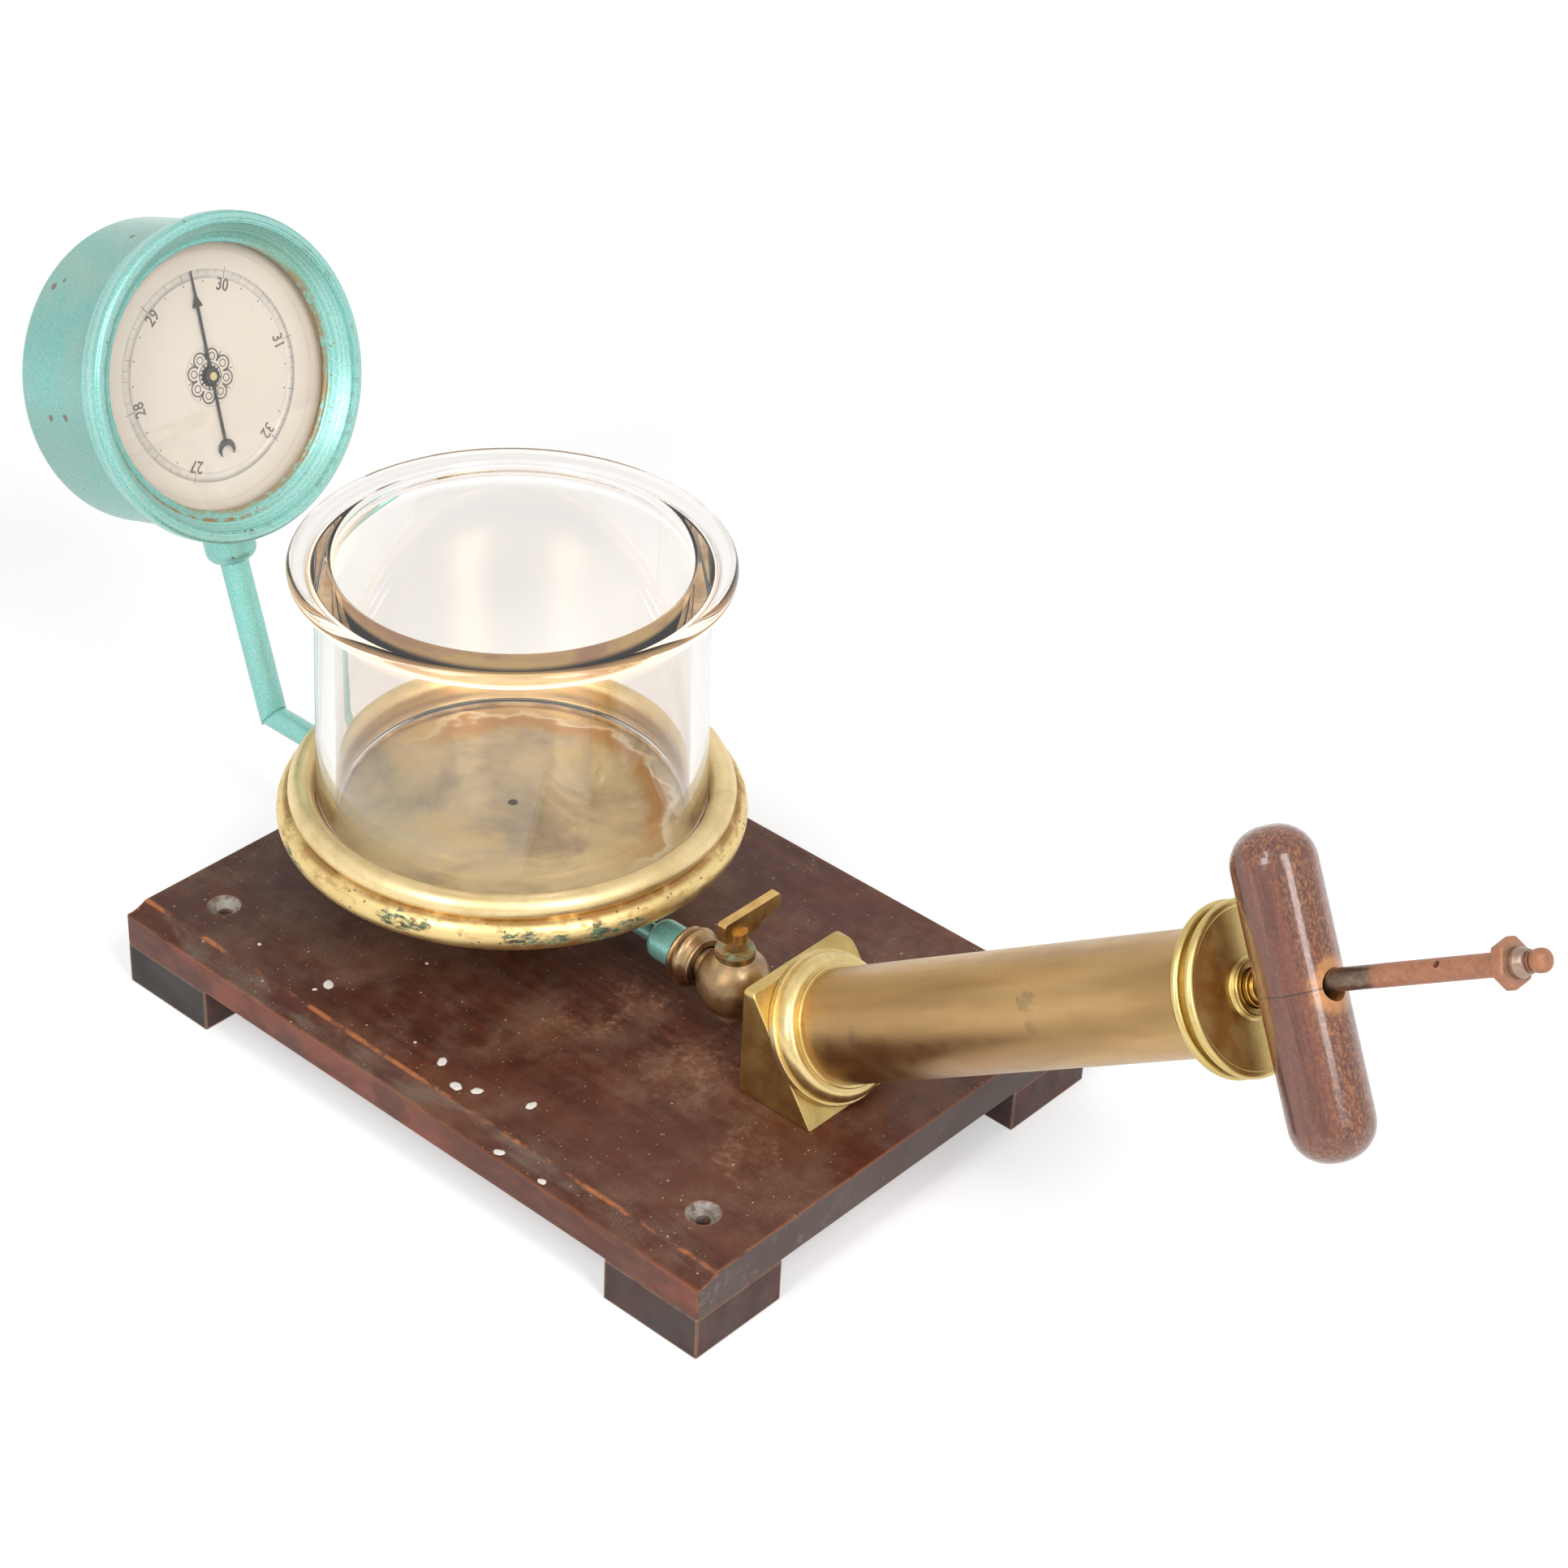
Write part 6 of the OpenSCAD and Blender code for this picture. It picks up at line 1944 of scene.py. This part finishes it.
@dataclass
class Pump(Assembly):
    """The wedge, the barrel with its collar and cap, and the piston and its rod."""

    barrel_r: float = 21.0
    bore_r: float = 18.0
    barrel_start: float = 1.2
    fitted_r: float = 21.06
    cap_face: float = 203.6
    cap_l: float = 9.2
    cap_r: float = 28.8
    cap_t: float = 3.6
    cap_bead: float = 1.65
    rod_hole_r: float = 3.8
    gland_r: float = 6.35
    nut_rounding: float = 0.9
    flange_r: float = 28.3
    gasket_r: float = 26.4
    wedge_y: tuple[float, float] = (-21.25, 31.25)
    wedge_rounding: float = 0.55

    def build(self) -> None:
        """Turned pump pieces and the wedge."""
        place = LAYOUT.pump()
        self.place(self.wedge(), WEDGE_BRASS, "base", "wedge_block")
        self.place(turned("foot_collar", self.collar(), place), COLLAR_BRASS, "base", "barrel_collar")
        start, end = self.barrel_start, self.cap_face - self.cap_t
        tube = eased([(self.barrel_r, start, 0.2), (self.barrel_r, end, 0.2), (self.bore_r, end, 0.2),
                      (self.bore_r, start, 0.2)], 2)
        self.place(turned("pump_barrel", tube, place), BARREL_BRASS, "base", "barrel")
        self.place(turned("pump_cap", self.cap(), place, steps=160), CAP_BRASS, "base", "end_cap")
        self.place(turned("gland", self.gland(), place, steps=96), GLAND_BRASS, "base", "gland_nut")
        self.coat(PALE_LEATHER, "barrel_gasket")
        self.coat(LEATHER, "foot_valve", "leather_cup", "piston_valve")
        self.coat(RUBBER, "gland_packing")
        self.coat(STEEL, "foot_valve_screw", "piston_nut")
        self.coat(MOVEMENT_BRASS, "piston_front_disc", "piston_back_disc")
        self.coat(RUSTY_STEEL, "piston_rod")
        nut = eased_copy(self.nodes["rod_nut"], "rod_hexagon", self.nut_rounding, 2.0)
        self.place(nut, RUSTY_STEEL, "rod", "rod_nut")
        self.place(turned("rod_dome", self.dome(), place, steps=64), RUSTY_STEEL, "rod")
        self.coat(HANDLE_WOOD, "handle")

    def wedge(self) -> bpy.types.Object:
        """The wedge, as a block with rounded top corners that is cut by its sloping face.

        Returns:
            The piece.
        """
        low, top = LAYOUT.board_top / MM, (LAYOUT.board_top + LAYOUT.wedge_h) / MM
        near, far = self.wedge_y
        outline = eased([(near, low, 0), (far, low, 0), (far, top, 5.5), (near, top, 2.2)], 6)
        work = bmesh.new()
        face = work.faces.new([work.verts.new((LAYOUT.wedge_x, y * MM, z * MM)) for y, z in outline])
        grown = bmesh.ops.extrude_face_region(work, geom=[face])["geom"]
        length = LAYOUT.slope_x(LAYOUT.board_top) - LAYOUT.wedge_x + 2 * MM
        bmesh.ops.translate(work, vec=(length, 0, 0),
                            verts=[part for part in grown if isinstance(part, bmesh.types.BMVert)])
        slope = Vector((math.cos(LAYOUT.barrel_tilt), 0, math.sin(LAYOUT.barrel_tilt)))
        parts = work.verts[:] + work.edges[:] + work.faces[:]
        cut = bmesh.ops.bisect_plane(work, geom=parts, clear_outer=True, plane_no=slope,
                                     plane_co=LAYOUT.pump().to_translation())["geom_cut"]
        bmesh.ops.holes_fill(work, edges=[part for part in cut if isinstance(part, bmesh.types.BMEdge)])
        bmesh.ops.remove_doubles(work, verts=work.verts[:], dist=CUT_WELD)
        bmesh.ops.recalc_face_normals(work, faces=work.faces[:])
        ease(work, self.wedge_rounding, 25)
        return finished(work, "wedge")

    def collar(self) -> Profile:
        """The foot collar's section: a thin flange that hides its gasket, a broad swell and a ring.

        Returns:
            The outline's points.
        """
        hole, gasket, edge = self.fitted_r, self.gasket_r, self.flange_r
        flange = eased([(hole, 1.25, 0), (gasket, 1.25, 0), (gasket, 0.1, 0), (edge, 0.1, 0.4),
                        (edge, 3.0, 0.7), (27.1, 3.05, 0)], 4)
        turns = [math.radians(9 * i) for i in range(1, 11)]
        swell = [(23.8 + 3.3 * math.cos(turn), 3.05 + 5.6 * math.sin(turn)) for turn in turns]
        return flange + swell + [(22.1, 8.75), (22.4, 9.0), (22.4, 9.9), (22.1, 10.2), (hole, 10.2)]

    def dome(self) -> Profile:
        """The domed collar behind the rod's nut."""
        return eased([(3.78, 307.7, 0), (4.9, 307.7, 0.2), (4.8, 309.4, 1.4), (4.1, 311.6, 1.2),
                      (3.0, 312.5, 0), (3.0, 309.0, 0)], 5)

    def cap(self) -> Profile:
        """The end cap's section with its two beads and ring boss.

        Returns:
            The outline's points.
        """
        face, back, rim, bead = self.cap_face, self.cap_face - self.cap_l, self.cap_r, self.cap_bead
        hole, inner, rod = self.gland_r + 0.07, face - self.cap_t, self.rod_hole_r
        boss = eased([(rim - 2.2, face, 0), (rim - 2.6, face - 0.25, 0.2), (10.4, face - 0.25, 0.3),
                      (9.5, face + 0.6, 0.3), (9.5, face + 2.0, 0.7), (8.2, face + 2.0, 0.4),
                      (7.8, face + 1.3, 0.3), (hole, face + 1.3, 0.1)], 4)
        return (
            [(self.fitted_r, back)] + arc(rim - bead, back + bead, bead, -90, 90, 12)
            + [(rim - 3.05, back + 2 * bead), (rim - 3.05, face - 2 * bead)]
            + arc(rim - bead, face - bead, bead, -90, 90, 12) + boss
            + [(hole, face - 2.8), (rod, face - 2.8), (rod, inner), (self.fitted_r, inner)]
        )

    def gland(self) -> Profile:
        """The domed gland nut's section.

        Returns:
            The outline's points.
        """
        face, rod, edge = self.cap_face + 2.0, self.rod_hole_r, self.gland_r
        return eased([(rod, face - 0.8, 0), (edge, face - 0.8, 0.1), (edge, face + 1.35, 0.6),
                      (5.0, face + 1.4, 0.2), (5.0, face + 2.6, 1.1), (rod, face + 2.6, 0.2)], 6)


# Studio

def direction(azimuth: float, elevation: float) -> Vector:
    """The way from the object to a camera or lamp at an azimuth and an elevation."""
    flat = math.cos(elevation)
    return Vector((math.sin(azimuth) * flat, -math.cos(azimuth) * flat, math.sin(elevation)))


@dataclass
class Studio:
    """The camera, the pale floor and the soft light."""

    eye: Triple = (740.9 * MM, -775.5 * MM, 850.8 * MM)
    azimuth: float = math.radians(40.265)
    elevation: float = math.radians(34.401)
    roll: float = math.radians(3.069)
    lens: float = 82.0
    sensor: float = 36.0
    far_clip: float = 30.0
    floor_half: float = 12.0
    floor_grey: Colour = (0.8, 0.8, 0.8, 1)
    sky: float = 0.4
    lamp_power: float = 16.0
    lamp_size: tuple[float, float] = (0.5, 1.3)
    lamp_distance: float = 2.0
    lamp_target: Triple = (0, 0, 0.1)
    lamp_height: float = math.radians(42)
    lamps: tuple[tuple[str, float], ...] = (("left", math.radians(6)), ("right", math.radians(74)))

    def build(self) -> None:
        """Camera, floor, sky and lamps."""
        self.camera()
        self.floor()
        self.world()
        for name, azimuth in self.lamps:
            self.softbox(name, azimuth)

    def camera(self) -> None:
        """The camera at the photograph's viewing angle."""
        side = Vector((math.cos(self.azimuth), math.sin(self.azimuth), 0))
        back = direction(self.azimuth, self.elevation)
        up = back.cross(side)
        turn = Matrix((side, up, back)).transposed() @ Matrix.Rotation(self.roll, 3, "Z")
        lens = bpy.data.cameras.new("camera")
        lens.lens, lens.sensor_width, lens.clip_end = self.lens, self.sensor, self.far_clip
        camera = bpy.data.objects.new("camera", lens)
        bpy.context.scene.collection.objects.link(camera)
        camera.matrix_world = Matrix.Translation(self.eye) @ turn.to_4x4()
        bpy.context.scene.camera = camera

    def floor(self) -> None:
        """A pale floor that shows the object's shadow on white."""
        work = bmesh.new()
        bmesh.ops.create_grid(work, x_segments=2, y_segments=2, size=self.floor_half)
        floor = finished(work, "floor", weighted=False)
        tree = MaterialTree("pale_floor")
        tree.shade(Base_Color=self.floor_grey, Roughness=0.9)
        seen = tree.looked_at()
        glow = tree.add("ShaderNodeEmission")
        glow.inputs["Color"].default_value = WHITE
        far = tree.band(tree.radius(tree.at), 0.4, 1.2, 0.43, 0.9)
        tree.put(glow.inputs["Strength"], tree.times(seen, far))
        both = tree.add("ShaderNodeAddShader")
        tree.put(both.inputs[0], tree.shader.outputs[0])
        tree.put(both.inputs[1], glow.outputs[0])
        tree.put(tree.output.inputs["Surface"], both.outputs[0])
        floor.data.materials.append(tree.material)

    def world(self) -> None:
        """White where the camera, a reflection or a refraction looks, and plain sky light for the rest."""
        world = bpy.data.worlds.new("studio")
        world.use_nodes = True
        bpy.context.scene.world = world
        tree = Tree(world.node_tree)
        tree.tree.nodes.clear()
        background = tree.add("ShaderNodeBackground")
        background.inputs["Color"].default_value = WHITE
        tree.put(background.inputs["Strength"], tree.band(tree.looked_at(), 0.0, 1.0, self.sky, 1.0))
        output = tree.add("ShaderNodeOutputWorld")
        tree.put(output.inputs["Surface"], background.outputs[0])

    def softbox(self, name: str, azimuth: float) -> None:
        """A tall soft lamp that looks at the object.

        Args:
            name: The lamp's name.
            azimuth: Where it stands, in the sense of the camera's azimuth.
        """
        way = direction(azimuth, self.lamp_height)
        lamp = bpy.data.lights.new(name, "AREA")
        lamp.shape, lamp.energy = "RECTANGLE", self.lamp_power
        lamp.size, lamp.size_y = self.lamp_size
        holder = bpy.data.objects.new(name, lamp)
        bpy.context.scene.collection.objects.link(holder)
        place = Vector(self.lamp_target) + way * self.lamp_distance
        holder.matrix_world = Matrix.Translation(place) @ way.to_track_quat("Z", "Y").to_matrix().to_4x4()


def main() -> None:
    """Load the frame, dress the part and light it."""
    logging.basicConfig(level=logging.INFO, format="%(name)s: %(message)s")
    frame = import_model()
    nodes = frame["nodes"]
    scene = bpy.context.scene
    scene.view_settings.view_transform = "Standard"
    Studio().build()
    for assembly in (Board, PumpPlate, Receiver, Gauge, DialPrint, Stopcock, Pump):
        assembly(nodes).build()
        LOG.info("%s is built", assembly.__name__)


if __name__ == "__main__":
    main()
